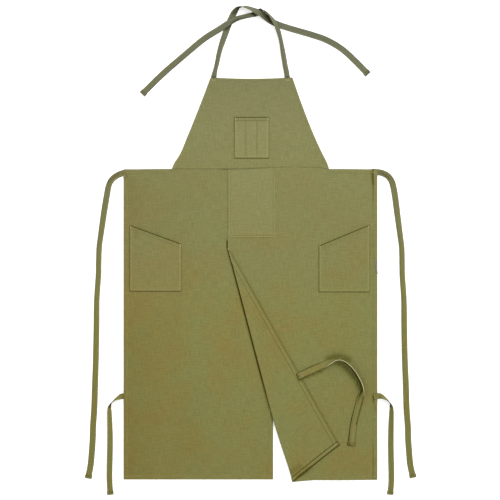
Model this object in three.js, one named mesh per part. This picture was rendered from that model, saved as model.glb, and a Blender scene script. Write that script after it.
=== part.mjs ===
// Pottery apron with split legs, laid flat on its back on a surface at z = 0.
// Millimetres, +Z up, +Y towards the neck ties. The origin lies on that surface, under the apron's middle.

import * as THREE from "three";
import { mergeVertices } from "three/addons/utils/BufferGeometryUtils.js";

// Cloth: thicknesses, and how one piece lifts the next
const CANVAS = 1.0; // one canvas wall
const TAPE = 1.6; // a folded and sewn tie
const GAP = 0.3; // clearance between pieces that lie on each other
const LAYER = CANVAS + GAP; // rise that one wall gives to what lies on it
const TUCK = TAPE + GAP; // rise that a tie gives to the wall over it
const DRAPE = 14; // run over which a wall comes down from what lifts it
const EDGE_STEP = 2; // closest spacing of a wall's grid lines
const LONGEST_STEP = 45; // widest spacing along the fold
const FIRST_STEP = 5; // spacing along the fold at its apex
const STEP_GROWTH = 1.3; // from one line to the next

// Skirt: two leg panels that lie on each other at the middle
const SKIRT_HALF_WIDTH = 336;
const OVERLAP_HALF_WIDTH = 60;
const WAIST_Y = 214;
const HEM_Y = -608.5;
const HEM_DEPTH = 11; // turned-up cloth along the free edges
const SEAM_LAP = 10; // skirt cloth that runs up behind the bib
const SEAM_HALF_WIDTH = 204; // reach of that lap to each side
const SEAM_SLANT = 8; // run over which the lap's ends slope

// Fold of the right leg panel: its free corner turns back about a line from the apex
const APEX_X = -OVERLAP_HALF_WIDTH;
const APEX_Y = 7;
const FOLD_ANGLE = THREE.MathUtils.degToRad(14.65); // between the fold and straight down
const FOLD_LENGTH = 650;
const FOLD_RADIUS_APEX = 0.9;
const FOLD_RADIUS_HEM = 3.6;
const FOLD_START = 14; // length over which the edge curls up into the fold
const FOLD_SETTLE = 30; // length over which the flap comes down to rest
const FLAP_REST = LAYER + GAP; // height of the resting flap over the wall under it
const SWAY = 8; // the fold's lower end leans out this much further
const SWAY_START = 470; // distance along the fold where the lean begins
const SWAY_REACH = 150; // distance from the fold where the lean has died away
const FLAP_COLUMNS = 4; // grid steps across the flap
const BEND_COLUMNS = 6; // grid steps around the bend

// Bib and pockets
const BIB_TOP_Y = 456;
const BIB_TOP_SAG = 3; // dip of the bib's top edge between its corners
const LAP_TOP_Y = WAIST_Y + SEAM_LAP + EDGE_STEP; // the bib leaves the skirt here
const LAP_END_Y = LAP_TOP_Y + DRAPE; // and lies on the surface from here on
const MOUTH_RISE = 1.5; // gape of a side pocket's mouth
const CHANNEL_RISE = 1.2; // crown of a tool channel
const CHANNELS = 3;
const POCKET_COLUMNS = 4; // grid steps across a channel, or across half a pocket
const POCKET_ROWS = 6; // grid steps from its bottom to its mouth

// Side tag
const TAG_WIDTH = 3.5;
const TAG_LENGTH = 38;
const TAG_LEAN = THREE.MathUtils.degToRad(9);
const TAG_Y = -45; // its middle

// Underside of the right leg panel across the middle, where it passes over the left panel's edge and its tie
const STEP_PROFILE = [
  { x: 57, height: LAYER },
  { x: 60, height: TUCK },
  { x: 79, height: TUCK },
  { x: 93, height: 0 },
];

// The folded flap comes down more gently from the same step
const FLAP_PROFILE = [
  { x: 93, height: TUCK },
  { x: 170, height: 0 },
];

// Rise of the bib's lower edge across the lap of the two panels
const LAP_PROFILE = [
  { x: -78, height: LAYER },
  { x: -62, height: LAYER + TUCK },
  { x: 84, height: LAYER + TUCK },
  { x: 104, height: LAYER },
];

// Outline of the bib's sides
const BIB_OUTLINE = [
  { y: WAIST_Y, left: -212, right: 208 },
  { y: 226, left: -203.5, right: 204.5 },
  { y: 250, left: -188.5, right: 192.5 },
  { y: 300, left: -167, right: 169.5 },
  { y: 369, left: -139, right: 142 },
  { y: BIB_TOP_Y, left: -105.5, right: 111 },
];

const BIB_WIDTH = BIB_OUTLINE[0].right - BIB_OUTLINE[0].left; // along its lower edge
const BIB_CORNER = [0, 0.04, 0.085, 0.12, 0.155]; // grid lines over a neck tie's end, as shares of the width

// Lower edge of the right leg panel as cut, with the corner that is folded back first
const RIGHT_HEM = [
  { x: -60, y: -595 },
  { x: 102, y: -617 },
  { x: 165, y: -611.5 },
  { x: 336, y: -609.5 },
];

// Patch pockets: sides, bottom edge, and the height of the mouth at each side
const POCKETS = {
  left_pocket: { x0: -320, x1: -183, bottom: -110, top0: 65, top1: 15 },
  right_pocket: { x0: 181, x1: 316, bottom: -112, top0: 10, top1: 66 },
  bib_pocket: { x0: -43, x1: 49, bottom: 242, top0: 351, top1: 351 },
};

// Sewn ends of the ties that are tucked under a wall: middle and half sizes
const TUCKED = {
  neck_left: { x: -97.5, y: 448, halfX: 12, halfY: 9 },
  neck_right: { x: 98, y: 448, halfX: 12, halfY: 9 },
  waist_left: { x: -328, y: 204, halfX: 9, halfY: 11 },
  waist_right: { x: 328, y: 206, halfX: 9, halfY: 11 },
  leg_left: { x: -328, y: -387, halfX: 9, halfY: 11 },
};

// Ties from the sewn end to the free end. Route columns: x, y, height of the lower edge, roll in degrees
const TIES = {
  neck_tie_left: {
    width: 16,
    route: [
      [-98, 444, 0, 0],
      [-97, 458, 0, 0],
      [-94.5, 470, 0, -8],
      [-89, 492, 0, -14],
      [-81.5, 527, 0, -12],
      [-73, 554, 0, -6],
      [-66, 574, 0, 0],
      [-58, 596, 0, 0],
      [-48, 619, 0, 4],
      [-42, 629, 0, 28],
      [-36, 636.5, 0, 58],
      [-28, 641.5, 0, 88],
      [-13, 642, 1.4, 120],
      [1, 637, 4.4, 133],
      [9, 633, 7, 145],
      [18, 628.5, 9, 158],
      [28, 622.7, 9.8, 170],
      [36, 617.5, 6, 176],
      [44, 612.3, 2.2, 180],
      [52, 607, 0.2, 180],
      [70, 598, 0, 180],
      [99, 588, 0, 180],
      [166, 568, 0, 192],
      [201, 555.5, 0, 192],
      [245, 529.5, 0, 180],
      [303, 474, 0, 180],
      [312, 464.5, 0, 180],
    ],
  },
  neck_tie_right: {
    width: 16,
    route: [
      [98.5, 444, 0, 0],
      [97, 460, 0, 0],
      [95.5, 470, 0, 5],
      [92, 487, 0, 8],
      [86.5, 520, 0, 10],
      [79.5, 558, 1, 12],
      [73.5, 579, 2.6, 18],
      [67.5, 594, 2.8, 34],
      [59.5, 607, 2.6, 54],
      [51, 617.6, 2, 63],
      [42.4, 625.7, 0.8, 66],
      [34.6, 631.8, 0, 84],
      [28.5, 632.5, 0, 132],
      [21, 629, 0, 165],
      [13, 624.8, 0, 178],
      [3, 622, 0, 180],
      [-17, 617.5, 0.6, 180],
      [-34, 612.5, 2.2, 180],
      [-50, 605, 2.4, 180],
      [-66, 595, 2.4, 180],
      [-84, 583, 1.6, 180],
      [-121, 560, 0, 180],
      [-177, 513.5, 0, 192],
      [-232, 466, 0, 180],
      [-287, 412, 0, 180],
    ],
  },
  waist_tie_left: {
    width: 16,
    route: [
      [-322, 204, 0, 0],
      [-335, 203.5, 0, 0],
      [-349, 199, 0, 0],
      [-366, 187, 0, 10],
      [-374.5, 172, 0, 15],
      [-381, 141, 0, 5],
      [-389.5, 88, 0, 0],
      [-397, 35, 0, 0],
      [-400.6, 8, 0, 0],
      [-402, -30, 0, 0],
      [-402.6, -65, 0, 0],
      [-405, -100, 0, 0],
      [-407, -132, 0, 0],
      [-408, -205, 0, 0],
      [-409.6, -290, 0, 0],
      [-412, -365, 0, 0],
      [-414, -423, 0, 0],
      [-417, -468, 0, 0],
      [-418, -502, 0, 0],
      [-421, -545, 0, 0],
      [-423.5, -570, 0, 0],
      [-430, -606, 0, 0],
    ],
  },
  waist_tie_right: {
    width: 16,
    route: [
      [321, 206.5, 0, 0],
      [335, 206, 0, 0],
      [350, 203, 0, 0],
      [364, 195, 0, 10],
      [374, 181, 0, 15],
      [378.5, 166, 0, 10],
      [383, 141, 0, 5],
      [390, 88, 0, 0],
      [397, 35, 0, 0],
      [400.5, 8, 0, 0],
      [401.7, -30, 0, 0],
      [402.2, -65, 0, 0],
      [404.5, -100, 0, 0],
      [406.5, -132, 0, 0],
      [407.3, -205, 0, 0],
      [409, -290, 0, 0],
      [412, -365, 0, 0],
      [413.7, -423, 0, 0],
      [417, -468, 0, 0],
      [418, -502, 0, 0],
      [421, -545, 0, 0],
      [423.5, -570, 0, 0],
      [431, -604, 0, 0],
    ],
  },
  leg_tie_left_outer: {
    width: 15,
    route: [
      [-322, -387, 0, 0],
      [-339, -388, 0, 0],
      [-348, -391, 0, 44],
      [-357.5, -395.5, 0, 74],
      [-365, -402, 0, 86],
      [-370.5, -409, 0, 100],
      [-372.8, -417, 0, 120],
      [-372.8, -437, 0, 136],
      [-372, -465, 0, 146],
      [-371.7, -505, 0, 160],
      [-372.3, -540, 0, 170],
      [-373.5, -595, 0, 176],
      [-373, -621, 0, 180],
      [-371, -649, 0, 180],
    ],
  },
  leg_tie_right_outer: {
    width: 15,
    route: [
      [326, -390, LAYER, 0],
      [339, -387, LAYER, 0],
      [350, -389.5, 0.4, -30],
      [359, -395, 0, -64],
      [366, -401.5, 0, -84],
      [371, -409, 0, -100],
      [372.8, -417, 0, -120],
      [372.8, -437, 0, -138],
      [372, -465, 0, -150],
      [371.6, -505, 0, -162],
      [372, -540, 0, -171],
      [373.2, -595, 0, -176],
      [372.8, -621, 0, -180],
      [370, -649, 0, -180],
    ],
  },
  leg_tie_right_inner: {
    width: 18,
    route: [
      [124, -336.5, 4.6, 0],
      [140, -329, 4.4, 0],
      [168, -315.5, 2.2, -8],
      [194, -304, 1.4, -30],
      [212, -296, 1.4, -62],
      [223, -292, 1.4, -84],
      [237, -292, 1.4, -100],
      [254, -301, 1.4, -108],
      [274.5, -323, 1.4, -110],
      [283.5, -338.5, 1.4, -112],
      [290.5, -353, 1.4, -114],
      [293.5, -366.5, 1.4, -122],
      [293.5, -380, 1.4, -145],
      [290, -394, 1.4, -170],
      [283.5, -420.5, 1.4, -180],
      [275, -453, 1.4, -180],
      [270, -488, 1.4, -180],
      [266, -519, 1.4, -180],
    ],
  },
  leg_tie_left_inner: {
    width: 16,
    route: [
      [68.5, -393, 0, 0],
      [68.5, -300, 0, 0],
      [68.5, -200, 0, 0],
      [68.5, -100, 0, 0],
      [68.5, -14, 0, 0],
    ],
  },
};
const TIE_STEPS = 2; // sections of a tie to each row of its route
const TIE_ACROSS = 4; // grid steps across a tie, so that its wall keeps its thickness in a twist

const canvas = new THREE.MeshStandardMaterial({ color: 0x87824f, roughness: 0.92, metalness: 0 });
const tape = new THREE.MeshStandardMaterial({ color: 0x7d7844, roughness: 0.9, metalness: 0 });
const label = new THREE.MeshStandardMaterial({ color: 0x7a7066, roughness: 0.8, metalness: 0 });

const { lerp, clamp, smoothstep } = THREE.MathUtils;

// Value of one column of a table, straight between its rows and level past its ends
function along(table, key, position, column) {
  const last = table.length - 1;
  const next = clamp(table.findIndex((row) => row[key] >= position), 0, last);
  if (position >= table[last][key]) return table[last][column];
  if (next === 0) return table[0][column];
  const [low, high] = [table[next - 1], table[next]];
  return lerp(low[column], high[column], (position - low[key]) / (high[key] - low[key]));
}

// Rise of a wall over a tucked tie end: whole above it, gone a drape's run away from it
function riseOver(end, x, y) {
  const beside = Math.max(Math.abs(x - end.x) - end.halfX, Math.abs(y - end.y) - end.halfY, 0);
  return TUCK * (1 - smoothstep(beside, 0, DRAPE));
}

// Grid lines beside a tucked end: where the rise over it is whole, half and gone
function riseLines(middle, half, direction) {
  return [0, DRAPE / 2, DRAPE].map((away) => middle + direction * (half + away));
}

// A closed wall around a grid of points: half its thickness to each side, along the grid's own normals
function wall(columns, rows, thickness, place) {
  const grid = Array.from({ length: columns }, (_, i) => Array.from({ length: rows }, (_, j) => place(i, j)));
  const span = (from, to) => new THREE.Vector3().subVectors(to, from);
  const geometry = new THREE.BoxGeometry(1, 1, 1, columns - 1, rows - 1, 1);
  const position = geometry.attributes.position;
  for (let k = 0; k < position.count; k++) {
    const i = Math.round((position.getX(k) + 0.5) * (columns - 1));
    const j = Math.round((position.getY(k) + 0.5) * (rows - 1));
    const across = span(grid[Math.max(i - 1, 0)][j], grid[Math.min(i + 1, columns - 1)][j]);
    const up = span(grid[i][Math.max(j - 1, 0)], grid[i][Math.min(j + 1, rows - 1)]);
    const normal = across.cross(up).normalize();
    const point = grid[i][j].clone().addScaledVector(normal, position.getZ(k) * thickness);
    position.setXYZ(k, point.x, point.y, point.z);
  }
  return closed(geometry);
}

// The same surface with its shared vertices merged
function closed(geometry) {
  geometry.deleteAttribute("normal");
  geometry.deleteAttribute("uv");
  const merged = mergeVertices(geometry);
  merged.computeVertexNormals();
  return merged;
}

// Upper edge of the skirt: higher where it runs up behind the bib
function skirtTop(x) {
  const past = Math.abs(x) - (SEAM_HALF_WIDTH - SEAM_SLANT);
  return WAIST_Y + SEAM_LAP * (1 - clamp(past / SEAM_SLANT, 0, 1));
}

// Left leg panel: flat on the surface, lifted only over the tie ends at its outer edge
function leftLegPanel() {
  const { waist_left: waist, leg_left: leg } = TUCKED;
  const columns = [
    -SKIRT_HALF_WIDTH,
    ...riseLines(waist.x, waist.halfX, 1),
    -SEAM_HALF_WIDTH,
    SEAM_SLANT - SEAM_HALF_WIDTH,
    OVERLAP_HALF_WIDTH,
  ];
  const rows = [
    HEM_Y,
    ...riseLines(leg.y, leg.halfY, -1).reverse(),
    ...riseLines(leg.y, leg.halfY, 1),
    ...riseLines(waist.y, waist.halfY, -1).reverse(),
    WAIST_Y,
  ];
  return wall(columns.length, rows.length, CANVAS, (i, j) => {
    const x = columns[i];
    const y = j === rows.length - 1 ? skirtTop(x) : rows[j];
    const rise = riseOver(waist, x, y) + riseOver(leg, x, y);
    return new THREE.Vector3(x, y, rise + CANVAS / 2);
  });
}

// Bend of the right leg panel at a distance along its fold
function foldRadius(distance) {
  return lerp(FOLD_RADIUS_APEX, FOLD_RADIUS_HEM, clamp(distance / FOLD_LENGTH, 0, 1));
}

// Where a point of the flat right leg panel lies once its corner is folded back,
// with its height over what the panel lies on there
function foldBack(x, y) {
  const [sin, cos] = [Math.sin(FOLD_ANGLE), Math.cos(FOLD_ANGLE)];
  const distance = (x - APEX_X) * sin - (y - APEX_Y) * cos;
  const offset = (x - APEX_X) * cos + (y - APEX_Y) * sin;
  const half = (foldRadius(distance) * Math.PI) / 2;
  const turn = Math.PI * smoothstep(distance, -EDGE_STEP, FOLD_START);
  let plan = offset;
  let height = 0;
  let flap = 0;
  if (turn > 0 && offset < half) {
    const radius = (2 * half) / turn;
    const angle = turn * Math.min((half - offset) / (2 * half), 1);
    flap = Math.max(-half - offset, 0);
    plan = half - radius * Math.sin(angle) - flap * Math.cos(turn);
    const free = radius * (1 - Math.cos(angle)) + flap * Math.sin(turn);
    height = flap > 0 ? lerp(FLAP_REST, free, Math.exp(-flap / FOLD_SETTLE)) : free;
  }
  plan += SWAY * smoothstep(distance, SWAY_START, FOLD_LENGTH) * (1 - smoothstep(plan, 0, SWAY_REACH));
  return {
    x: APEX_X + distance * sin + plan * cos,
    y: APEX_Y - distance * cos + plan * sin,
    height,
    flap,
  };
}

// Right leg panel: over the left one at the middle, on the surface beyond it, its free corner folded back
function rightLegPanel() {
  const left = -OVERLAP_HALF_WIDTH;
  const waist = TUCKED.waist_right;
  const body = [
    ...STEP_PROFILE.map((row) => row.x),
    SWAY_REACH,
    SEAM_HALF_WIDTH - SEAM_SLANT,
    SEAM_HALF_WIDTH,
    ...riseLines(waist.x, waist.halfX, -1).reverse(),
    SKIRT_HALF_WIDTH,
  ];
  const columns = 1 + FLAP_COLUMNS + BEND_COLUMNS + body.length;
  const rows = [WAIST_Y, ...riseLines(waist.y, waist.halfY, -1), APEX_Y + FOLD_START];
  let step = FIRST_STEP;
  for (let y = APEX_Y + EDGE_STEP; y > HEM_Y + HEM_DEPTH; y -= step) {
    rows.push(y);
    step = Math.min(step * STEP_GROWTH, LONGEST_STEP);
  }
  rows.push(HEM_Y + HEM_DEPTH, HEM_Y);
  rows.reverse();

  // Grid lines gather at the fold: flap first, then the bend, then the lines of the flat body
  const columnX = (i, y) => {
    const below = Math.max(APEX_Y - y, 0);
    const fold = left + below * Math.tan(FOLD_ANGLE);
    const half = (foldRadius(below) * Math.PI) / 2 / Math.cos(FOLD_ANGLE);
    const flapEnd = Math.max(fold - half, left + EDGE_STEP);
    const bendEnd = Math.max(fold + half, flapEnd + 2 * EDGE_STEP);
    const k = i - FLAP_COLUMNS - BEND_COLUMNS;
    if (i <= FLAP_COLUMNS) return lerp(left, flapEnd, i / FLAP_COLUMNS);
    if (k <= 0) return lerp(flapEnd, bendEnd, (i - FLAP_COLUMNS) / BEND_COLUMNS);
    return Math.max(body[k - 1], bendEnd + k * EDGE_STEP);
  };

  return wall(columns, rows.length, CANVAS, (i, j) => {
    const x = columnX(i, rows[j]);
    const hem = along(RIGHT_HEM, "x", x, "y");
    const top = j === rows.length - 1;
    const y = top ? skirtTop(x) : Math.max(rows[j], hem) + (j === 0 ? Math.min(hem - HEM_Y, 0) : 0);
    const laid = foldBack(x, y);
    const profile = laid.flap > 0 ? FLAP_PROFILE : STEP_PROFILE;
    const foot = along(profile, "x", laid.x, "height") + riseOver(waist, laid.x, laid.y);
    return new THREE.Vector3(laid.x, laid.y, foot + laid.height + CANVAS / 2);
  });
}

// Bib: lower edge over the skirt's seam lap, upper corners over the ends of the neck ties
function bib() {
  const { neck_left: leftEnd, neck_right: rightEnd } = TUCKED;
  const shares = [...BIB_CORNER, ...LAP_PROFILE.map((row) => (row.x - BIB_OUTLINE[0].left) / BIB_WIDTH)];
  shares.push(...BIB_CORNER.map((share) => 1 - share));
  shares.sort((a, b) => a - b);
  const rows = BIB_OUTLINE.map((row) => row.y).concat(riseLines(leftEnd.y, leftEnd.halfY, -1));
  rows.push((LAP_TOP_Y + LAP_END_Y) / 2, LAP_END_Y);
  rows.sort((a, b) => a - b);
  return wall(shares.length, rows.length, CANVAS, (i, j) => {
    const [left, right] = ["left", "right"].map((side) => along(BIB_OUTLINE, "y", rows[j], side));
    const x = lerp(left, right, shares[i]);
    const sag = j === rows.length - 1 ? BIB_TOP_SAG * Math.sin(Math.PI * shares[i]) : 0;
    const y = rows[j] - sag;
    const lap = along(LAP_PROFILE, "x", x, "height") * (1 - smoothstep(y, LAP_TOP_Y, LAP_END_Y));
    const ends = riseOver(leftEnd, x, y) + riseOver(rightEnd, x, y);
    return new THREE.Vector3(x, y, lap + ends + CANVAS / 2);
  });
}

// Patch pocket on a flat wall: crowned towards the mouth, once or in channels side by side
function pocket({ x0, x1, bottom, top0, top1 }, channels, rise) {
  const columns = POCKET_COLUMNS * Math.max(channels, 2);
  return wall(columns + 1, POCKET_ROWS + 1, CANVAS, (i, j) => {
    const s = i / columns;
    const q = j / POCKET_ROWS;
    const x = lerp(x0, x1, s);
    const y = lerp(bottom, lerp(top0, top1, s), q);
    const crown = rise * Math.abs(Math.sin(Math.PI * channels * s)) * q;
    return new THREE.Vector3(x, y, LAYER + crown + CANVAS / 2);
  });
}

// Flat tie along its route, rolled about it, with its lower edge at the given height
function tie({ width, route }) {
  const curve = new THREE.CatmullRomCurve3(route.map(([x, y]) => new THREE.Vector3(x, y, 0)));
  const steps = (route.length - 1) * TIE_STEPS;
  const geometry = new THREE.BoxGeometry(1, 1, 1, steps, TIE_ACROSS, 1);
  const sections = [];
  for (let k = 0; k <= steps; k++) {
    const row = Math.min(Math.floor(k / TIE_STEPS), route.length - 2);
    const share = smoothstep(k / TIE_STEPS - row, 0, 1);
    const [, , lift, roll] = route[row].map((value, column) => lerp(value, route[row + 1][column], share));
    const angle = THREE.MathUtils.degToRad(roll);
    const centre = curve.getPoint(k / steps);
    centre.z = lift + (Math.abs(Math.sin(angle)) * width + Math.abs(Math.cos(angle)) * TAPE) / 2;
    sections.push({ centre, angle });
  }
  const position = geometry.attributes.position;
  for (let n = 0; n < position.count; n++) {
    const k = Math.round((position.getX(n) + 0.5) * steps);
    const { centre, angle } = sections[k];
    const ahead = sections[Math.min(k + 1, steps)].centre.clone();
    ahead.sub(sections[Math.max(k - 1, 0)].centre).normalize();
    const side = new THREE.Vector3(-ahead.y, ahead.x, 0).normalize().applyAxisAngle(ahead, angle);
    const face = new THREE.Vector3().crossVectors(ahead, side);
    const point = centre.clone().addScaledVector(side, position.getY(n) * width);
    point.addScaledVector(face, position.getZ(n) * TAPE);
    position.setXYZ(n, point.x, point.y, point.z);
  }
  return closed(geometry);
}

// Blank tag on the right side hem, its lower end just past the edge
function sideTag() {
  const geometry = closed(new THREE.BoxGeometry(TAG_WIDTH, TAG_LENGTH, CANVAS));
  geometry.rotateZ(TAG_LEAN);
  geometry.translate(SKIRT_HALF_WIDTH - TAG_WIDTH, TAG_Y, LAYER + CANVAS / 2);
  return geometry;
}

const apron = new THREE.Group();
function add(name, geometry, material) {
  const mesh = new THREE.Mesh(geometry, material);
  mesh.name = name;
  apron.add(mesh);
}

add("left_leg_panel", leftLegPanel(), canvas);
add("right_leg_panel", rightLegPanel(), canvas);
add("bib", bib(), canvas);
add("bib_pocket", pocket(POCKETS.bib_pocket, CHANNELS, CHANNEL_RISE), canvas);
add("left_pocket", pocket(POCKETS.left_pocket, 1, MOUTH_RISE), canvas);
add("right_pocket", pocket(POCKETS.right_pocket, 1, MOUTH_RISE), canvas);
add("side_tag", sideTag(), label);
for (const [name, shape] of Object.entries(TIES)) {
  add(name, tie(shape), tape);
}

export default apron;
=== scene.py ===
# %% [markdown]
# # A pottery apron, laid flat
#
# The real object is an apron for work at a potter's wheel. It is cut from olive cotton canvas: a bib, a skirt
# that is split into two leg panels so that the wheel fits between the knees, three patch pockets, and flat
# ties for the neck, the waist and the legs. It lies on its back, and we look at it from straight above.
#
# Cloth could be simulated here, but a pressed apron that lies on a floor hardly moves, and a simulation
# would blur its hems. So every piece is drafted as a tailor does it: a flat pattern with turned hems, then
# laid in place by a formula. The pattern is in millimetres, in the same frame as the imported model.

import bmesh
import bpy
import numpy as np
from mathutils import Matrix, Vector


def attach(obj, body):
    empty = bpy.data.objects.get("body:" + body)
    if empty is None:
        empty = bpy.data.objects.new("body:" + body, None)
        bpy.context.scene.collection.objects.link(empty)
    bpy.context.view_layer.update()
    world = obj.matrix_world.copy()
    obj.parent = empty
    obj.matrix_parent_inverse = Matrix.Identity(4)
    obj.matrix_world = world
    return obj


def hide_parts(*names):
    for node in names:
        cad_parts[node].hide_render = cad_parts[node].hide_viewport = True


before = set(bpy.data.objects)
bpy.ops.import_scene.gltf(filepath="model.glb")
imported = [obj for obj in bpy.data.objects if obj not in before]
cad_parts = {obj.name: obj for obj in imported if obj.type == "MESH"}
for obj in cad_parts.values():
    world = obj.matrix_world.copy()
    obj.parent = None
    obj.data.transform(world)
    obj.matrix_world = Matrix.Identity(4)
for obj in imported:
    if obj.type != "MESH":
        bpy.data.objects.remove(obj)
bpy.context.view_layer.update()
METRE = 0.001  # one millimetre of the pattern, in Blender's metres

# %% [markdown]
# ## Camera
#
# The photograph was taken from straight above, so the camera looks down with no turn at all, and the top of
# the picture is +Y. A longer lens from further away keeps the edges of the picture from leaning outwards. The
# distance follows from the width of floor that the square picture shows.

# %% Camera straight above
VIEW_WIDTH = 1325.0  # floor across the picture
VIEW_MIDDLE = (-1.3, -0.8)
LENS = 85.0
SENSOR = 36.0

camera = bpy.data.objects.new("camera", bpy.data.cameras.new("camera"))
camera.data.lens = LENS
camera.data.sensor_width = SENSOR
camera.location = Vector((*VIEW_MIDDLE, VIEW_WIDTH * LENS / SENSOR)) * METRE
bpy.context.collection.objects.link(camera)
bpy.context.scene.camera = camera
print("camera", round(camera.location.z, 2), "m above the floor")

# %% [markdown]
# ## Colours and nodes
#
# Colours are written as the hex values that a colour picker shows. Shaders work with linear light, so one
# function converts them. A second small function adds any kind of node, sets its inputs and links it, which
# keeps a material readable as a list of what feeds what.

# %% Helpers for materials
def linear(code):
    """A hex colour such as 87824E, as linear red, green, blue and alpha."""
    srgb = [int(code[k:k + 2], 16) / 255 for k in (0, 2, 4)]
    return [c / 12.92 if c <= 0.04045 else ((c + 0.055) / 1.055) ** 2.4 for c in srgb] + [1.0]


def add(tree, kind, inputs=None, links=None, **settings):
    """A node of this kind, with its settings, input values and links from other nodes' outputs."""
    node = tree.nodes.new(kind)
    for name, value in settings.items():
        setattr(node, name, value)
    for name, value in (inputs or {}).items():
        node.inputs[name].default_value = value
    for name, output in (links or {}).items():
        tree.links.new(output, node.inputs[name])
    return node


def new_material(name):
    """An empty material with its tree and its output node."""
    material = bpy.data.materials.new(name)
    material.use_nodes = True
    material.node_tree.nodes.clear()
    output = material.node_tree.nodes.new("ShaderNodeOutputMaterial")
    return material, material.node_tree, output


print("olive in linear light:", [round(c, 3) for c in linear("87824E")])

# %% [markdown]
# ## Olive cotton canvas
#
# Canvas is a plain weave of thick cotton yarn: each thread goes over one and under the next. It is matt, with
# a little fuzz that catches light at a slant. The eye sees three scales: the grid of yarn about 0.7 mm apart,
# long thicker threads called slubs, and soft patches where the dye took differently. The yarn is drawn at its
# real spacing. The slubs are drawn about three times coarser than real ones, so that they show from this far.
#
# The weave follows the cloth around folds, so it reads the flat pattern, which every piece keeps as a UV map
# in metres. The slow fade towards the neck reads the object's own coordinates. Two attributes carry painted
# light: one is painted shade, which makes the cloth dark and takes its gloss at seams, rims, creases and in
# knots, and the other makes an edge paler where it is rubbed and paints highlights where it would catch
# light.

# %% Yarn of the canvas
YARN = 0.7  # from one thread to the next
SLUB = (2.2, 26.0)  # width and length
FLECK = 3.6  # a nep of tangled fibre, drawn larger than the real 1 mm so that it shows
WAVE_STEP = 2 * np.pi / 20  # a wave texture's own length at scale 1


def spun(tree, flat):
    """Heights of the weave, the slubs and the flecks on the flat pattern."""
    # Yarn: bumps across and along, and a checker that says which one is on top
    yarn = {"Scale": WAVE_STEP / (YARN * METRE)}
    warp = add(tree, "ShaderNodeTexWave", yarn, {"Vector": flat}, bands_direction="X").outputs["Fac"]
    weft = add(tree, "ShaderNodeTexWave", yarn, {"Vector": flat}, bands_direction="Y").outputs["Fac"]
    over = add(tree, "ShaderNodeTexChecker", {"Scale": 1 / (YARN * METRE)}, {"Vector": flat}).outputs["Fac"]
    weave = add(tree, "ShaderNodeMix", None, {0: over, 2: warp, 3: weft}).outputs[0]

    # Slubs: noise stretched along each set of threads
    slubs = []
    for across, along in (SLUB, SLUB[::-1]):
        stretch = {"Scale": (1 / (across * METRE), 1 / (along * METRE), 1)}
        lie = add(tree, "ShaderNodeMapping", stretch, {"Vector": flat}).outputs["Vector"]
        noise = add(tree, "ShaderNodeTexNoise", {"Scale": 1.0, "Detail": 2.0}, {"Vector": lie})
        slubs.append(noise.outputs["Fac"])
    slub = add(tree, "ShaderNodeMath", None, dict(enumerate(slubs)), operation="ADD").outputs[0]
    fleck = add(tree, "ShaderNodeTexNoise", {"Scale": 1 / (FLECK * METRE)}, {"Vector": flat}).outputs["Fac"]
    return weave, slub, fleck


print("yarn every", YARN, "mm, slubs", SLUB[0], "by", SLUB[1], "mm")

# %% Dye of the canvas
PATCH = 120.0  # width of a patch of dye
MOTTLE = 22.0  # and of the finer mottle in it
MOTTLE_SHARE = 0.45
RANGE = ("From Min", "From Max", "To Min", "To Max")  # each row below fills as many of these as it has
DYE_TAKE = (0.54, 0.92)  # the dye goes from its first tone to its second
FADE = (-0.2, 0.62)  # heights, in metres, between which the cloth fades towards the neck
LEFT_BROWN = (-0.34, -0.14, -0.21, 0.08)  # browner towards the left side, with less of the second tone
TIE_BROWN = (-0.34, -0.14, 0.0, 0.08)  # the ties come from another piece of the bolt


def dyed(tree, flat, sideways, height, tones, faded, left_brown):
    """Broad patches and a finer mottle between two tones, then the fade."""
    patch = add(tree, "ShaderNodeTexNoise", {"Scale": 1 / (PATCH * METRE), "Detail": 1.5}, {"Vector": flat})
    mottle = add(tree, "ShaderNodeTexNoise", {"Scale": 1 / (MOTTLE * METRE), "Detail": 3.0}, {"Vector": flat})
    uneven = add(tree, "ShaderNodeMath", {1: MOTTLE_SHARE},
                 {0: mottle.outputs["Fac"], 2: patch.outputs["Fac"]}, operation="MULTIPLY_ADD").outputs[0]
    brown = add(tree, "ShaderNodeMapRange", dict(zip(RANGE, left_brown)), {"Value": sideways}).outputs[0]
    uneven = add(tree, "ShaderNodeMath", None, {0: brown, 1: uneven}, operation="ADD").outputs[0]
    take = add(tree, "ShaderNodeMapRange", dict(zip(RANGE, DYE_TAKE)), {"Value": uneven}).outputs[0]
    dye = add(tree, "ShaderNodeMix", {6: linear(tones[0]), 7: linear(tones[1])}, {0: take},
              data_type="RGBA").outputs[2]
    fade = add(tree, "ShaderNodeMapRange", dict(zip(RANGE, FADE)), {"Value": height}).outputs[0]
    return add(tree, "ShaderNodeMix", {7: linear(faded)}, {0: fade, 6: dye}, data_type="RGBA").outputs[2]


print("dye in patches of", PATCH, "mm with a mottle of", MOTTLE, "mm")

# %% Canvas and tie materials
WEAVE_DEPTH = 0.12
SLUB_DEPTH = 0.5  # for each part of the weave's depth
RUB_AND_HIGHLIGHT_PALE = "B5B184"  # paler cloth where dye is rubbed off along an edge, and in painted highlights
PAINTED_SHADE_BROWN = "171104"  # colour of painted shade: deep in creases, under edges, along rims and in knots
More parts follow.
